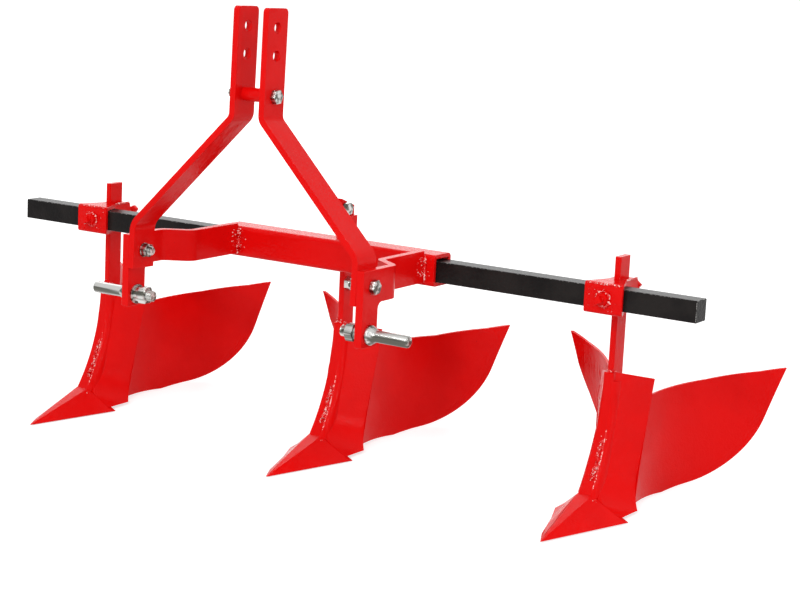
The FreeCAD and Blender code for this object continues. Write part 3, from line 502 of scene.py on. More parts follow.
# %% [markdown]
# ## Right halves drawn in
# Near the ground the right half of each body is drawn narrower here than its solids have it, and two
# wing tips stand a little further out.  Whether the real bodies are uneven in this way isn't known,
# so the solids keep both halves alike and only their copies change.  Sculpting would lose the flat
# faces of the plates.  The copies are cut into strips instead, and a plain rule says how far each
# strip's corners move, so that the change fades out evenly.

# %% Fit the plates of a body
STRIP = 20                  # millimetres between the cuts
STRIP_OUTER, STRIP_TOP = -220, 400
CUT_WITHIN = 1e-5
DRAWN_IN = 21               # millimetres that a right half is drawn in by
PLATE_LEAST = 0.55          # share of that which wings and side plates keep at any height
LOW_BAND = (260, 145)       # the heights over which the change grows to its full size
NOSE_SIDE = 14              # the distance from a row's middle at which it begins
SHARE_BAND, PLATE_BAND = (NOSE_SIDE, 58), (NOSE_SIDE, 40)
FURTHER = 0.4               # share of it that a share's heel and a side plate's foot add
HEEL_BAND = (58, 86)        # the distances over which the heel does, and the heights for the foot
FOOT_BAND = (80, 40)
FADE, FADE_LIMIT = 0.9, 1.1
FADE_UP, FADE_OUT = (110, 200), (55, 260)
TIP_BAND = (120, 260)
TIP_FORWARD = 0.15
TIP_SHIFT = {"left": 5, "centre": 11, "right": 0}


def ramp(value, band, most=1):
    """Zero at one end of a band, one at its other end, and straight between."""
    start, end = band
    return min(max((value - start) / (end - start), 0), most)


def cut_across(shape, row):
    """Cut a body's plates into strips, so that they can be drawn in smoothly."""
    turn = MACHINE.to_3x3().normalized()
    for axis, starts in ((Vector((1, 0, 0)), range(STRIP_OUTER, 1, STRIP)),
                         (Vector((0, 0, 1)), range(STRIP, STRIP_TOP, STRIP))):
        for start in starts:
            spot = Vector((ROW_MIDDLE[row], 0, 0)) + axis * start
            bmesh.ops.bisect_plane(shape, geom=shape.verts[:] + shape.edges[:] + shape.faces[:],
                                   dist=CUT_WITHIN, plane_co=MACHINE @ spot, plane_no=turn @ axis)


def share_of_change(out, up, kind):
    """The share of the full change at a distance from a row's middle and a height."""
    low = ramp(up, LOW_BAND)
    if kind == "share":
        reach = ramp(out, SHARE_BAND) + FURTHER * ramp(out, HEEL_BAND)
    else:
        reach = ramp(out, PLATE_BAND)
        low = max(low, PLATE_LEAST)
    reach -= FADE * ramp(up, FADE_UP) * ramp(out, FADE_OUT, FADE_LIMIT)
    if kind == "side_plate":
        reach += FURTHER * ramp(up, FOOT_BAND) * ramp(out, PLATE_BAND)
    return low * reach


def narrow_right_half(shape, row, kind):
    """Draw the right half of a body in towards its middle, and move its wing's tip out and up."""
    for vert in shape.verts:
        place = UPRIGHT @ vert.co
        out = ROW_MIDDLE[row] - place.x
        if out > NOSE_SIDE:
            tip = ramp(out, TIP_BAND) ** 2 * TIP_SHIFT[row]
            inward = DRAWN_IN * share_of_change(out, place.z, kind)
            place += Vector((inward - tip, -TIP_FORWARD * tip, tip))
            vert.co = MACHINE @ place


print("right halves are drawn in", DRAWN_IN, "mm, and wing tips move", TIP_SHIFT)

# %% [markdown]
# ## The lower edge of a wing
# A wing's lower edge rises straight towards its tip, but the solid's has a small step beside the
# side plate.  The step could be cut off, but that leaves a new face to fit.  Its corners are moved
# down to the straight run instead, and the faces follow.

# %% Straighten the wings
WING_FOOT = 130             # along the machine, in millimetres
WING_FOOT_HEIGHT = 27.5
WING_RISE = 0.15
STEP_BACK = (128, 192)
STEP_HEIGHT = 7.5
STEP_TOP = 37


def fair_wing(shape, row):
    """Draw the low step of a wing's edge down to the straight run of the rest."""
    for vert in shape.verts:
        place = UPRIGHT @ vert.co
        back, up = place.y - ROW_BACK[row], place.z - ROW_RISE[row]
        straight = WING_FOOT_HEIGHT + WING_RISE * (back - WING_FOOT)
        if STEP_BACK[0] < back < STEP_BACK[1] and straight < up < min(straight + STEP_HEIGHT, STEP_TOP):
            place.z = straight + ROW_RISE[row]
            vert.co = MACHINE @ place


def fit_plate(shape, row, kind):
    cut_across(shape, row)
    if kind == "wing":
        fair_wing(shape, row)
    narrow_right_half(shape, row, kind)


print("wing edges rise", WING_RISE, "per millimetre from", WING_FOOT_HEIGHT, "mm")

# %% [markdown]
# ## The groove in a share
# A share is folded from plate, and a narrow groove runs beside its crest from near the point to
# the foot of the nose.  Subtracting a bar would cut it too, but a boolean leaves slivers on sloping
# faces.  Three cuts along the crest and one row of corners pushed down make a clean groove.

# %% Score the shares
CREST_BAND = (-16, -8)      # where the crest is looked for, beside a row's middle
TIP_DEPTH = 3
GROOVE_MIDDLE, GROOVE_HALF = 2.9, 1.5
GROOVE_START = 22           # behind the point
GROOVE_DEPTH = 2.2
GROOVE_UP = Vector((0.3, 0, 0.95))
SHARE_SLOPE = Vector((-0.50, -0.18, 0.85))
SCORE_WITHIN = 1e-4
ON_GROOVE = 0.05
FACING_UP = 0.2
SHARE_SMOOTH = 7            # degrees, so that its folds and its groove stay crisp


def score_share(shape, row):
    """Press a narrow groove beside the crest of a share, from its tip to the foot of the nose."""
    shape.transform(UPRIGHT)
    middle = ROW_MIDDLE[row]
    high = [vert.co for vert in shape.verts if CREST_BAND[0] < vert.co.x - middle < CREST_BAND[1]]
    crest = max(high, key=lambda place: place.z).copy()
    front = min((vert.co for vert in shape.verts), key=lambda place: place.y).y
    tip = max((vert.co for vert in shape.verts if vert.co.y < front + TIP_DEPTH),
              key=lambda place: place.z).copy()
    across = (crest - tip).cross(SHARE_SLOPE).normalized()
    if across.x > 0:
        across.negate()
    for start in (GROOVE_MIDDLE - GROOVE_HALF, GROOVE_MIDDLE, GROOVE_MIDDLE + GROOVE_HALF):
        bmesh.ops.bisect_plane(shape, geom=shape.verts[:] + shape.edges[:] + shape.faces[:],
                               dist=SCORE_WITHIN, plane_co=tip + across * start, plane_no=across)
    for vert in shape.verts:
        off_line = abs((vert.co - tip).dot(across) - GROOVE_MIDDLE)
        if (off_line < ON_GROOVE and vert.co.y > tip.y + GROOVE_START
                and any(face.normal.z > FACING_UP for face in vert.link_faces)):
            vert.co -= GROOVE_UP * GROOVE_DEPTH
    shape.transform(MACHINE)


SHARE_EDGE, NOSE_EDGE, SHANK_EDGE = 0.0012, 0.001, 0.0006
PLATE_EDGES = {"side_plate": 0.001, "wing": 0.0008}
for row in ROW_MIDDLE:
    soften("share_" + row, SHARE_EDGE, lambda shape: fit_plate(shape, row, "share"),
           lambda shape: score_share(shape, row), SHARE_SMOOTH)
    soften("nose_" + row, NOSE_EDGE)
    soften("shank_" + row, SHANK_EDGE)
    for side in ("left", "right"):
        for kind, width in PLATE_EDGES.items():
            soften("%s_%s_%s" % (kind, row, side), width, lambda shape: fit_plate(shape, row, kind))
print(len(ROW_MIDDLE), "ridging bodies softened, with a scored share on each")

# %% [markdown]
# ## Hitch pins
# A hitch pin is turned from round bar: a stud through the hitch plate, a collar, a cone and the pin.
# It could be piled up from cylinders, but then its steps would be knife edges.  A turned part is
# really one outline spun round its axis, so its chamfers are points of that outline, and a thread is
# a saw-tooth.  Each part is made along +X from its seat, in millimetres, and then turned into place.

# %% Turn the hitch pins
TURN = {"+X": Matrix.Identity(4), "-X": Matrix.Rotation(math.pi, 4, "Z"),
        "+Y": Matrix.Rotation(math.pi / 2, 4, "Z"), "-Y": Matrix.Rotation(-math.pi / 2, 4, "Z")}
SIGN = {"left": 1, "right": -1}
OUTWARD = {"left": "+X", "right": "-X"}
INWARD = {"left": "-X", "right": "+X"}
HITCH_OUTSIDE, HITCH_INSIDE = 271, 256      # the faces of a hitch plate, from the machine's middle
PIN_ALONG, PIN_UP = -281, 325
THREAD_PITCH = 2.0
TOOTH_DEPTH = 0.75
THREAD_CHAMFER = 1.2
TURNED_WITHIN = 0.0005
TURNED_SMOOTH = 32


def seat(shape, facing, across, along, up):
    """Move a shape from its own millimetres to its seat on the machine."""
    shape.transform(MACHINE @ Matrix.Translation((across, along, up)) @ TURN[facing])


def add_turned(shape, profile, steps):
    """Spin a list of (length along X, radius) pairs into a closed solid."""
    verts = [shape.verts.new((length, radius, 0)) for length, radius in profile]
    edges = [shape.edges.new(pair) for pair in zip(verts, verts[1:])]
    bmesh.ops.spin(shape, geom=verts + edges, axis=(1, 0, 0), cent=(0, 0, 0), dvec=(0, 0, 0),
                   angle=2 * math.pi, steps=steps, use_merge=True, use_duplicate=False)
    bmesh.ops.remove_doubles(shape, verts=shape.verts, dist=TURNED_WITHIN)


def thread(start, end, radius):
    """The saw-tooth of a thread, with a chamfer on its end."""
    count = int((end - start - THREAD_CHAMFER) / THREAD_PITCH)
    teeth = [(start + step * THREAD_PITCH / 2, radius - (TOOTH_DEPTH if step % 2 else 0))
             for step in range(2 * count)]
    return teeth + [(end - THREAD_CHAMFER, radius), (end, radius - THREAD_CHAMFER), (end, 0)]


def stand_in(name, node, build, facing, across, along, up):
    """Build a fastener at its seat and let it stand in for a node."""
    shape = bmesh.new()
    build(shape)
    seat(shape, facing, across, along, up)
    bmesh.ops.recalc_face_normals(shape, faces=shape.faces)
    piece = finished_piece(name, shape, node, nodes[node].data.materials[0], TURNED_SMOOTH)
    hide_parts(node)
    return piece


def build_hitch_pin(shape):
    stud = [(-length, radius) for length, radius in reversed(thread(15, 57, 10))]
    collar = [(0, 10), (0, 17.4), (0.7, 18), (4.6, 18), (5.6, 17.6)]
    cone = [(6.2, 16.8), (17.6, 11.2), (18.4, 11)]
    rounded_end = [(80.6, 11), (82.4, 10.2), (83.6, 8.6), (84, 7.6), (84, 0)]
    add_turned(shape, stud + collar + cone + rounded_end, steps=56)


for side in SIGN:
    stand_in("hitch_pin_%s_turned" % side, "hitch_pin_" + side, build_hitch_pin, OUTWARD[side],
             SIGN[side] * HITCH_OUTSIDE, PIN_ALONG, PIN_UP)
print("hitch pins turned")

# %% [markdown]
# ## Pin nuts
# The nut of a hitch pin has a broad washer face and a neck.  A hexagon can't be spun, so a cone
# operator with six sides and two equal radii makes it, and its far rim is bevelled.  The hexagon sits
# between two turned parts: the washer face and neck before it, and a round lip at its far end.

# %% Cut the pin nuts
SAME_PLACE = 1e-4


def add_hexagon(shape, width, start, length, rim, turn=0.0):
    """A hexagon along X, a width across its flats, with a softened rim at its far end."""
    matrix = (Matrix.Translation((start + length / 2, 0, 0)) @ Matrix.Rotation(math.radians(turn), 4, "X")
              @ Matrix.Rotation(math.pi / 2, 4, "Y"))
    radius = width / math.sqrt(3)
    made = bmesh.ops.create_cone(shape, cap_ends=True, segments=6, radius1=radius, radius2=radius,
                                 depth=length, matrix=matrix)["verts"]
    far = [edge for edge in {edge for vert in made for edge in vert.link_edges}
           if all(abs(vert.co.x - start - length) < SAME_PLACE for vert in edge.verts)]
    bmesh.ops.bevel(shape, geom=far, offset=rim, offset_type="OFFSET", affect="EDGES", segments=2,
                    profile=0.5, material=-1)


def build_pin_nut(shape):
    washer = [(0, 10), (0, 18), (0.4, 18.5), (3.4, 18.5), (3.9, 18)]
    neck = [(3.9, 14.6), (13, 13.6), (13, 10)]
    add_turned(shape, washer + neck, steps=48)
    add_hexagon(shape, width=30, start=13, length=16.4, rim=1.6)
    add_turned(shape, [(29, 13.4), (30, 13), (30, 10.2), (29, 10)], steps=36)


for side in SIGN:
    stand_in("hitch_pin_nut_%s_cut" % side, "hitch_pin_nut_" + side, build_pin_nut, INWARD[side],
             SIGN[side] * HITCH_INSIDE, PIN_ALONG, PIN_UP)
print("pin nuts cut")

# %% [markdown]
# ## Bolts and nuts
# M16 bolts join the mast bars to the arms and to each other, and one sits in the top of the hanger
# plate.  One bolt could be modelled and copied, but real ones grip different plates and stop at
# different angles.  A small function that returns a builder gives each bolt its own grip and turn.

# %% Make the bolts and nuts
BOLT_ACROSS = 24            # across the flats, in millimetres
BOLT_RADIUS = 8
HEAD_START, HEAD_HEIGHT = 1.0, 9.0
HEAD_DISH = 1.6
HEAD_FACE = 0.46            # radius of the round face, as a share of the width
DISH_TOP, DISH_FLOOR = 0.62, 0.45
HANGER_SEAT = (-6, 43.3, 486)
WASHER_FACE = 2.5
NUT_HEIGHT = 10.3
STRUT_GRIP, MAST_GRIP, HANGER_GRIP = 27, 77, 10
STRUT_ALONG, STRUT_UP = -276, 410
STRUT_TURN = {"left": 8, "right": 21}
MAST_HALF_GRIP = 38.5
MAST_LENGTH = 312           # from a mast bar's foot bolt up to the bolt through the spacer
MAST_TILT = math.radians(1.5)


def add_bolt_head(shape, turn):
    """A washer face, a hexagon, and the shallow dish forged into its top."""
    end = HEAD_START + HEAD_HEIGHT
    face = BOLT_ACROSS * HEAD_FACE
    add_turned(shape, [(0.0, 0), (0.0, 11.6), (HEAD_START, 11.9), (HEAD_START, 0)], steps=32)
    add_hexagon(shape, BOLT_ACROSS, HEAD_START, HEAD_HEIGHT, rim=0.9, turn=turn)
    add_turned(shape, [(end - 1, face), (end + 0.4, face), (end + 0.4, face * DISH_TOP),
                       (end - HEAD_DISH, face * DISH_FLOOR), (end - HEAD_DISH, 0)], steps=24)


def add_nut(shape, grip):
    """A nut with a washer face, on the far side of what the bolt grips."""
    before = set(shape.verts)
    add_turned(shape, [(0, BOLT_RADIUS), (0, 13), (0.3, 13.4), (2.2, 13.4), (WASHER_FACE, 13),
                       (WASHER_FACE, BOLT_RADIUS)], steps=32)
    add_hexagon(shape, BOLT_ACROSS, WASHER_FACE, NUT_HEIGHT, rim=1.2, turn=14)
    add_turned(shape, [(12.4, 10.6), (13, 10.2), (13, 8.4), (12.2, BOLT_RADIUS)], steps=28)
    for vert in set(shape.verts) - before:
        vert.co.x = -grip - vert.co.x


def bolt(grip, turn, nut=False):
    """A bolt whose seat is at zero: head towards +X, thread towards -X, perhaps with its nut."""
    def build(shape):
        add_bolt_head(shape, turn)
        shank = [(0, 0), (0, BOLT_RADIUS), (grip + 10, BOLT_RADIUS)]
        add_turned(shape, [(-length, radius) for length, radius
                           in shank + thread(grip + 11, grip + 21, BOLT_RADIUS)], steps=28)
        if nut:
            add_nut(shape, grip)
    return build


def nut_alone(grip):
    return lambda shape: add_nut(shape, grip)


for side, turn in STRUT_TURN.items():
    strut_seat = (SIGN[side] * HITCH_OUTSIDE, STRUT_ALONG, STRUT_UP)
    stand_in("strut_bolt_%s_made" % side, "strut_bolt_" + side, bolt(STRUT_GRIP, turn), OUTWARD[side],
             *strut_seat)
    stand_in("strut_nut_%s_made" % side, "strut_nut_" + side, nut_alone(STRUT_GRIP), OUTWARD[side],
             *strut_seat)
mast_seat = (MAST_HALF_GRIP, STRUT_ALONG + math.sin(MAST_TILT) * MAST_LENGTH,
             STRUT_UP + math.cos(MAST_TILT) * MAST_LENGTH)
stand_in("mast_bolt_made", "mast_bolt", bolt(MAST_GRIP, turn=5), "+X", *mast_seat)
stand_in("mast_nut_made", "mast_nut", nut_alone(MAST_GRIP), "+X", *mast_seat)
stand_in("hanger_bolt_upper_made", "hanger_bolt_upper", bolt(HANGER_GRIP, turn=11, nut=True), "+X",
         *HANGER_SEAT)
print("bolts and nuts made")

# %% [markdown]
# ## Weld beads
# A weld bead is a rope of overlapping frozen drops.  A round curve with a bevel would be too even.
# A ring of corners is carried along the seam by extruding its edges, and its radius swells and
# shrinks as the welder's hand moved.  The unevenness is random but seeded, so that every run of this
# script makes the same beads.

# %% Helpers for beads and spatter
BEAD_STEP = 1.6             # millimetres between the rings of a bead
BEAD_SIDES = 9
BEAD_HEIGHT = 0.75          # a bead's height as a share of its width
BEAD_RIPPLES = 2.1
BLUNT_END = 0.35
OFF_EVERY_SEAM = Vector((0.31, 0.87, 0.38))
WELD_SMOOTH = 60


def along_path(points):
    """Evenly spaced places along a path of straight runs."""
    points = [Vector(point) for point in points]
    places = points[:1]
    for start, end in zip(points, points[1:]):
        count = max(1, round((end - start).length / BEAD_STEP))
        places += [start.lerp(end, number / count) for number in range(1, count + 1)]
    return places


def sweep_rings(shape, rings):
    """Carry a ring through a list of placed rings, and close both ends."""
    ring = bmesh.ops.create_circle(shape, cap_ends=True, segments=len(rings[0]), radius=1)["verts"]
    for number, places in enumerate(rings):
        if number:
            edges = [edge for edge in {edge for vert in ring for edge in vert.link_edges}
                     if edge.verts[0] in ring and edge.verts[1] in ring]
            grown = bmesh.ops.extrude_edge_only(shape, edges=edges)["geom"]
            fresh = {item for item in grown if isinstance(item, bmesh.types.BMVert)}
            ring = [next(edge.other_vert(vert) for edge in vert.link_edges
                         if edge.other_vert(vert) in fresh) for vert in ring]
        for vert, place in zip(ring, places):
            vert.co = place
    shape.faces.new(ring)


def add_bead(shape, points, radius, seed, ripple=0.16, ragged=0.12, grow=1.0):
    """Sweep a rippled ring along a path, closed at both ends, in machine millimetres."""
    chance = random.Random(seed)
    places = along_path(points)
    rings = []
    for number, place in enumerate(places):
        ahead = (places[min(number + 1, len(places) - 1)] - places[max(number - 1, 0)]).normalized()
        across = ahead.cross(OFF_EVERY_SEAM).normalized()
        over = ahead.cross(across) * BEAD_HEIGHT
        share = number / max(1, len(places) - 1)
        swell = ripple * math.sin(number * BEAD_STEP * BEAD_RIPPLES)
        size = radius * (1 + swell + ragged * chance.uniform(-1, 1)) * (1 + (grow - 1) * share)
        from_end = min(share, 1 - share) * len(places) * BEAD_STEP
        size *= min(1, BLUNT_END + from_end / (2 * radius))
        sway = Vector([chance.uniform(-1, 1) for axis in range(3)]) * radius * ragged
        angles = [2 * math.pi * index / BEAD_SIDES for index in range(BEAD_SIDES)]
        rings.append([place + sway + (across * math.cos(angle) + over * math.sin(angle)) * size
                      for angle in angles])
    sweep_rings(shape, rings)


def add_spatter(shape, centre, spread, count, seed, size=(0.5, 1.3)):
    """Small frozen drops round a weld."""
    chance = random.Random(seed)
    for number in range(count):
        place = Vector(centre) + Vector([chance.uniform(-1, 1) * reach for reach in spread])
        bmesh.ops.create_icosphere(shape, subdivisions=1, radius=chance.uniform(*size),
                                   matrix=Matrix.Translation(place))


def finish_welds(name, shape, node, finish=RED_WELD):
    """Turn a bmesh in machine millimetres into a painted piece that rides with a node."""
    shape.transform(MACHINE)
    bmesh.ops.recalc_face_normals(shape, faces=shape.faces)
    return finished_piece(name, shape, node, finish, WELD_SMOOTH)


print("a ring every", BEAD_STEP, "mm, each with", BEAD_SIDES, "corners")

# %% [markdown]
# ## Frame welds
# The hitch arms are welded to the ends of the tube, and the hanger plate to its back.  All these
# beads could be separate pieces, but they never move apart and share a paint, so they are one mesh.

# %% Weld the frame
ARM_INSIDE, ARM_OUTSIDE = 208.5, 223.5      # the faces of an arm, from the machine's middle
TUBE_FRONT = -30
TUBE_LOW, TUBE_HIGH = 381, 431
TUBE_TOP_SEAM = 434.6
HANGER_SIDES = (-17.2, -4.8)
HANGER_SEAM = ((31, 376), (31, 432))        # along and up, at its two ends
ARM_SPATTER = (             # across, along, up, spread, count, seed, sizes of the drops
    (232, -30.2, 408, (9, 0.3, 24), 16, 41, (0.5, 1.3)),
    (198, -30.2, 408, (8, 0.3, 22), 16, 61, (0.7, 1.9)),
    (208.4, -42, 408, (0.3, 9, 22), 14, 71, (0.7, 1.9)),
    (223.6, -44, 412, (0.3, 11, 20), 34, 51, (0.6, 1.7)))


def weld_arm(shape, side):
    """Join one arm to the tube, with the heavier bead inside it and spatter round both."""
    for face, lift, radius, uneven in ((ARM_OUTSIDE, 1.5, 3.8, {}),
                                       (ARM_INSIDE, -1.5, 5.2, {"ripple": 0.3, "ragged": 0.3})):
        across = side * (face + lift)
        add_bead(shape, [(across, TUBE_FRONT - 1, TUBE_LOW), (across, TUBE_FRONT - 1.5, TUBE_HIGH)],
                 radius, seed=11 + side * int(face), **uneven)
    add_bead(shape, [(side * across, TUBE_FRONT, TUBE_TOP_SEAM) for across in (209, 223)], radius=2.6,
             seed=31 + side)
    for across, along, up, spread, count, seed, size in ARM_SPATTER:
        add_spatter(shape, (side * across, along, up), spread, count, seed + side, size)


welds = bmesh.new()
for side in SIGN.values():
    weld_arm(welds, side)
for across in HANGER_SIDES:
    add_bead(welds, [(across, *end) for end in HANGER_SEAM], radius=3.2, seed=int(60 + across))
finish_welds("frame_welds", welds, "centre_tube")
print("frame welded")

# %% [markdown]
# ## Fillets beside the noses
# Paint and weld metal round off the corner where a nose stands on its side plates.  Bevelling that
# corner isn't possible, because the plates are separate solids that only touch.  Rays are cast from
# the front onto the softened plates, and a concave strip is swept through the spots that they hit.

# %% Fill the corners beside the noses
NOSE_RADIUS = 345           # of the long curve that a nose's front follows, in millimetres
NOSE_BEND = 245             # the height from which it curves forward
NOSE_FRONT = 12.8
NOSE_TOP = 262
NOSE_HALF_AT_TOP, NOSE_HALF_AT_FOOT = 9.5, 16
RAY_START = -200
FILLET_TOP, FILLET_FOOT = 246, 44
FILLET_STEP = 3.0
FILLET_PARTS = 6
CORNER_ACROSS, CORNER_ALONG = 0.72, 0.30    # how far the curve is pulled into the corner
BURIED_ENDS, BURIED_MIDDLE = 3, 5
DEEPEST_CORNER = 34
BACKWARD, DOWNWARD = Vector((0, 1, 0)), Vector((0, 0, -1))


def nose_front_y(up):
    """How far along the machine the front of a nose lies at a height."""
    drop = min(max(0.0, NOSE_BEND - up), NOSE_RADIUS - 1)
    return NOSE_FRONT - NOSE_RADIUS + math.sqrt(NOSE_RADIUS ** 2 - drop ** 2)


def nose_half_width(up):
    share = min(up, NOSE_TOP) / NOSE_TOP
    return NOSE_HALF_AT_FOOT + (NOSE_HALF_AT_TOP - NOSE_HALF_AT_FOOT) * share


def row_surfaces(row):
    """A search tree of what shows of one body, in machine millimetres."""
    shape = bmesh.new()
    for name in ("share_%s_soft", "nose_%s_soft", "side_plate_%s_left_soft", "side_plate_%s_right_soft"):
        shape.from_mesh(bpy.data.objects[name % row].data)
    shape.transform(UPRIGHT)
    tree = BVHTree.FromBMesh(shape)
    shape.free()
    return tree


def add_fillet(shape, row, side, start, end, inner, outer, proud):
    """Fill the corner between a nose and a side plate with a smooth concave strip."""
    rings = []
    count = int(abs(end - start) / FILLET_STEP)
    for number in range(count + 1):
        up = start + (end - start) * number / count
        spots = []
        for out in (-inner, outer):
            across = ROW_MIDDLE[row] + side * (nose_half_width(up) + out)
            spots.append(SURFACES[row].ray_cast(Vector((across, RAY_START, up + ROW_RISE[row])), BACKWARD)[0])
        if None in spots or spots[1].y - spots[0].y > DEEPEST_CORNER:
            continue
        near, far = spots
        corner = Vector((near.x + CORNER_ACROSS * (far.x - near.x),
                         near.y + CORNER_ALONG * (far.y - near.y), near.z))
        ring = []
        for part in range(FILLET_PARTS + 1):
            share = part / FILLET_PARTS
            ring.append(near * (1 - share) ** 2 + corner * 2 * share * (1 - share) + far * share ** 2
                        - BACKWARD * proud)
        ring += [far + BACKWARD * BURIED_ENDS, near.lerp(far, 0.5) + BACKWARD * BURIED_MIDDLE,
                 near + BACKWARD * BURIED_ENDS]
        rings.append(ring)
    sweep_rings(shape, rings)
    return len(rings)


SURFACES = {row: row_surfaces(row) for row in ROW_MIDDLE}
for row in ROW_MIDDLE:
    fillets = bmesh.new()
    for side in SIGN.values():
        made = add_fillet(fillets, row, side, FILLET_TOP, FILLET_FOOT, inner=3.0, outer=8.0, proud=0.35)
        print(row, side, "fillet rings", made)
    finish_welds("nose_fillets_" + row, fillets, "nose_" + row, RED)

# %% [markdown]
# ## Welds of a ridging body
# A nose is welded to the shank at its top, and a ragged run goes down its own front, heaviest over
# the share.  Beads laid on a curve need places on that curve, so they come from the same function
# as the nose's front.  A ray dropped on the share finds where its plug weld lies.

# %% Weld the ridging bodies
PLUG_RADIUS, PLUG_TILT = 3.4, 0.9
PLUG_STEPS = 10             # of twelve, so the ring of weld stays open
PLUG_SIDE, PLUG_HEIGHT, PLUG_AHEAD = 23, 60, 14
RUN_TOP, RUN_FOOT, RUN_STEP = 142, 66, 4
GLOSSY_TOP, GLOSSY_FOOT = 160, 58
SPATTER_FOOT, SPATTER_TOP, SPATTER_STEP = 70, 150, 5


def body_place(row, across, along, up):
    """A place on a ridging body, from its own row's middle."""
    return ROW_MIDDLE[row] + across, along + ROW_BACK[row], up + ROW_RISE[row]


def weld_nose_top(shape, row, index):
    for side in SIGN.values():
        up_edge = [body_place(row, side * 7.4, 21.5, 243), body_place(row, side * 7.0, 22, NOSE_TOP)]
        add_bead(shape, up_edge, radius=2.8, seed=150 + 7 * index + side)
        along_top = [body_place(row, side * 7.2, 22, NOSE_TOP + 0.5),
                     body_place(row, side * 7.6, 33, NOSE_TOP - 1)]
        add_bead(shape, along_top, radius=2.4, seed=160 + 7 * index + side)


def add_plug_weld(shape, row, index):
    """A small ring of weld on the share, where a ray dropped beside the nose meets it."""
    above = Vector(body_place(row, PLUG_SIDE, nose_front_y(PLUG_HEIGHT) - PLUG_AHEAD, NOSE_TOP))
    spot = SURFACES[row].ray_cast(above, DOWNWARD)[0]
    if spot:
        turns = [number * math.pi / 6 for number in range(PLUG_STEPS)]
        ring = [spot + Vector((PLUG_RADIUS * math.cos(turn), PLUG_RADIUS * math.sin(turn),
                               -PLUG_TILT * math.cos(turn))) for turn in turns]
        add_bead(shape, ring, radius=1.1, seed=300 + index)


def weld_nose_front(shape, row, index):
    """The ragged run down the nose's own front, its spatter, and the cap at the nose's top."""
    run = [body_place(row, 4.5 + 1.2 * math.sin(up / 7.0), nose_front_y(up) + 0.4, up)
           for up in range(RUN_TOP, RUN_FOOT, -RUN_STEP)]
    add_bead(shape, run, radius=2.8, seed=170 + index, ripple=0.35, ragged=0.42, grow=1.7)
    for up in range(SPATTER_FOOT, SPATTER_TOP, SPATTER_STEP):
        add_spatter(shape, body_place(row, 6, nose_front_y(up), up), spread=(7, 0.8, 2.5), count=3,
                    seed=400 + up + index)
    cap = [body_place(row, across, 19.5, NOSE_TOP + 1) for across in (-5, 5)]
    add_bead(shape, cap, radius=3.0, seed=180 + index, ragged=0.25)
    add_spatter(shape, body_place(row, 0, 20.2, NOSE_TOP + 4), spread=(6, 0.6, 4), count=9,
                seed=190 + index)


for index, row in enumerate(ROW_MIDDLE):
    welds = bmesh.new()
    weld_nose_top(welds, row, index)
    # A smooth glossy run beside the nose's left edge.
    add_fillet(welds, row, SIGN["left"], GLOSSY_TOP, GLOSSY_FOOT, inner=3.2, outer=1.6, proud=0.9)
    add_plug_weld(welds, row, index)
    weld_nose_front(welds, row, index)
    finish_welds("body_welds_" + row, welds, "nose_" + row)
print("ridging bodies welded")

# %% [markdown]
# ## Clamp screws
# A clamp has a set screw in front, against the toolbar, and one behind, against the shank.  Each
# runs through a nut and has a square head.  Copies of one screw would all stop at one angle.  A
# stretched cube makes each head, turned by its own angle, and the bolts' helpers make the rest.

# %% Screw the clamps
SCREW_NUT_ACROSS, SCREW_NUT_HEIGHT = 22, 11
SCREW_RADIUS = 7
SCREW_HEAD = (10.5, 12.4, 12.4)
HEAD_AHEAD = 3.5            # of the head's middle, past the end of the thread
CLAMP_FACE = -28.4
FRONT_SEAT = (CLAMP_FACE, BAR_HEIGHT)
REAR_SEAT = (71.2, 410)


def clamp_screw(nut_rim, nut_turn, buried, end, head_turn):
    """A nut, and a set screw with a square head standing out of it."""
    def build(shape):
        add_hexagon(shape, SCREW_NUT_ACROSS, 0, SCREW_NUT_HEIGHT, rim=nut_rim, turn=nut_turn)
        add_turned(shape, [(-buried, 0), (-buried, SCREW_RADIUS), (10, SCREW_RADIUS)]
                   + thread(10, end, SCREW_RADIUS), steps=24)
        matrix = (Matrix.Translation((end + HEAD_AHEAD, 0, 0))
                  @ Matrix.Rotation(math.radians(head_turn), 4, "X") @ Matrix.Diagonal((*SCREW_HEAD, 1)))
        made = bmesh.ops.create_cube(shape, size=1, matrix=matrix)["verts"]
        edges = list({edge for vert in made for edge in vert.link_edges})
        bmesh.ops.bevel(shape, geom=edges, offset=1.1, offset_type="OFFSET", affect="EDGES", segments=2,
                        profile=0.5, material=-1)
    return build


for row in SIGN:
    stand_in("clamp_front_screw_%s_made" % row, "clamp_front_screw_" + row,
             clamp_screw(nut_rim=2.4, nut_turn=9, buried=8, end=16, head_turn=31), "-Y",
             ROW_MIDDLE[row], *FRONT_SEAT)
    stand_in("clamp_rear_screw_%s_made" % row, "clamp_rear_screw_" + row,
             clamp_screw(nut_rim=2.0, nut_turn=4, buried=10, end=32, head_turn=38), "+Y",
             ROW_MIDDLE[row], *REAR_SEAT)
print("clamps screwed")

# %% [markdown]
# ## Clamp welds
# A clamp is welded along its edges, and its front nut is drowned in a rough ring of weld.  A torus
# would be too even for it.  The ring is a bead like the others, whose path goes once round.

# %% Weld the clamps
NUT_RING = 13
RING_STEPS = 16
TOP_SEAM = 429


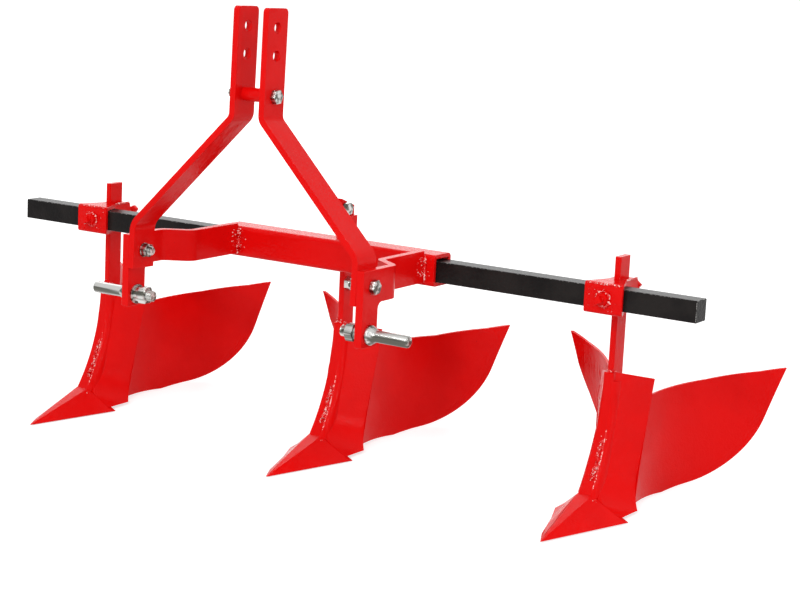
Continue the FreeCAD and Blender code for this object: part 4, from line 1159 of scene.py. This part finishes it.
def weld_clamp(shape, middle, index):
    """The beads along a clamp's top and side edges, and the ring round its front nut."""
    front_edge = [(middle + across, -27.6, TOP_SEAM) for across in (-34, 34)]
    add_bead(shape, front_edge, radius=2.1, seed=201 + 10 * index, ragged=0.22)
    right_edge = [(middle - 36.2, -25, up) for up in (380, 424)]
    add_bead(shape, right_edge, radius=1.8, seed=230 + index)
    turns = [number * 2 * math.pi / RING_STEPS for number in range(RING_STEPS + 1)]
    ring = [(middle + NUT_RING * math.cos(turn), CLAMP_FACE - 1.2, BAR_HEIGHT + NUT_RING * math.sin(turn))
            for turn in turns]
    add_bead(shape, ring, radius=3.4, seed=240 + index, ripple=0.25, ragged=0.30)
    add_spatter(shape, (middle, CLAMP_FACE - 0.5, BAR_HEIGHT), spread=(30, 0.4, 22), count=26,
                seed=250 + index)
    socket_edge = [(middle + 18.6, along, TOP_SEAM + 2) for along in (24, 68)]
    add_bead(shape, socket_edge, radius=1.8, seed=260 + index)


for index, row in enumerate(SIGN):
    welds = bmesh.new()
    weld_clamp(welds, ROW_MIDDLE[row], index)
    finish_welds("clamp_welds_" + row, welds, "clamp_" + row)
print("clamps welded")

# %% [markdown]
# ## Floor and sky
# A pale floor carries the shadow, and everything round it should look white.  More light would
# bleach the paint.  A Light Path node tells rays that look from rays that light instead, so the sky
# is white where it is seen, and only a plain grey where it lights the machine.

# %% Lay the floor and the sky
WHITE = (1, 1, 1, 1)
FLOOR_GREY = (0.62, 0.62, 0.62, 1)
FLOOR_GLOW = 0.62
FLOOR_HALF = 30             # metres from its middle to an edge
SKY_LIGHT = 0.86


def add_seen(tree):
    """One for rays that look, through a lens, a mirror or glass, and none for rays that light."""
    rays = add_node(tree, "LightPath")
    total = rays.outputs["Is Camera Ray"]
    for kind in ("Is Glossy Ray", "Is Transmission Ray"):
        total = calculate(tree, "MAXIMUM", total, rays.outputs[kind])
    return total


def make_floor():
    """A pale floor that shows as white to the eye, and keeps a soft shadow."""
    shape = bmesh.new()
    bmesh.ops.create_grid(shape, x_segments=1, y_segments=1, size=FLOOR_HALF)
    mesh = bpy.data.meshes.new("floor")
    shape.to_mesh(mesh)
    shape.free()
    floor = bpy.data.objects.new("floor", mesh)
    bpy.context.scene.collection.objects.link(floor)
    finish, tree, shader = new_finish("floor_white", roughness=0.9, specular=0.0)
    shader.inputs["Base Color"].default_value = FLOOR_GREY
    shader.inputs["Emission Color"].default_value = WHITE
    feed(tree, calculate(tree, "MULTIPLY", add_seen(tree), FLOOR_GLOW), shader.inputs["Emission Strength"])
    paint(floor, finish)


def make_sky():
    """A world that lights as plain grey and shows as white."""
    world = bpy.data.worlds.new("studio_sky")
    bpy.context.scene.world = world
    world.use_nodes = True
    tree = world.node_tree
    tree.nodes.clear()
    both = add_node(tree, "MixShader")
    feed(tree, add_seen(tree), both.inputs[0])
    for number, strength in ((1, SKY_LIGHT), (2, 1.0)):
        sky = add_node(tree, "Background")
        sky.inputs["Color"].default_value = WHITE
        sky.inputs["Strength"].default_value = strength
        feed(tree, sky.outputs[0], both.inputs[number])
    feed(tree, both.outputs[0], add_node(tree, "OutputWorld").inputs["Surface"])


make_floor()
make_sky()
print("floor and sky made")

# %% [markdown]
# ## Lamps
# The paint is glossy, so what it reflects gives it its shape.  One small lamp would leave a hot
# spot.  Long thin lamps draw long thin lights along the bent plates, and one broad bank behind the
# machine keeps its back from going dull.

# %% Hang the lamps
LIT_SPOT = (0, 0, 0.3)
LAMPS = (                   # name, place, width and height in metres, power in watts
    ("key_strip", (1.1, -3.4, 2.2), (0.09, 2.2), 34),
    ("level_strip", (0.2, -3.0, 3.2), (2.4, 0.09), 24),
    ("side_strip", (3.4, -0.9, 1.4), (0.08, 1.6), 13),
    ("back_bank", (-2.4, 3.6, 2.3), (4.5, 2.8), 74))


def soft_lamp(name, place, size, power):
    """A rectangular lamp turned towards the machine and hidden from the camera itself."""
    lamp = bpy.data.objects.new(name, bpy.data.lights.new(name, "AREA"))
    lamp.data.shape = "RECTANGLE"
    lamp.data.size, lamp.data.size_y = size
    lamp.data.energy = power
    lamp.location = place
    lamp.rotation_euler = (Vector(LIT_SPOT) - Vector(place)).to_track_quat("-Z", "Y").to_euler()
    lamp.visible_camera = False
    bpy.context.scene.collection.objects.link(lamp)


for lamp in LAMPS:
    soft_lamp(*lamp)
print(len(LAMPS), "lamps hung")
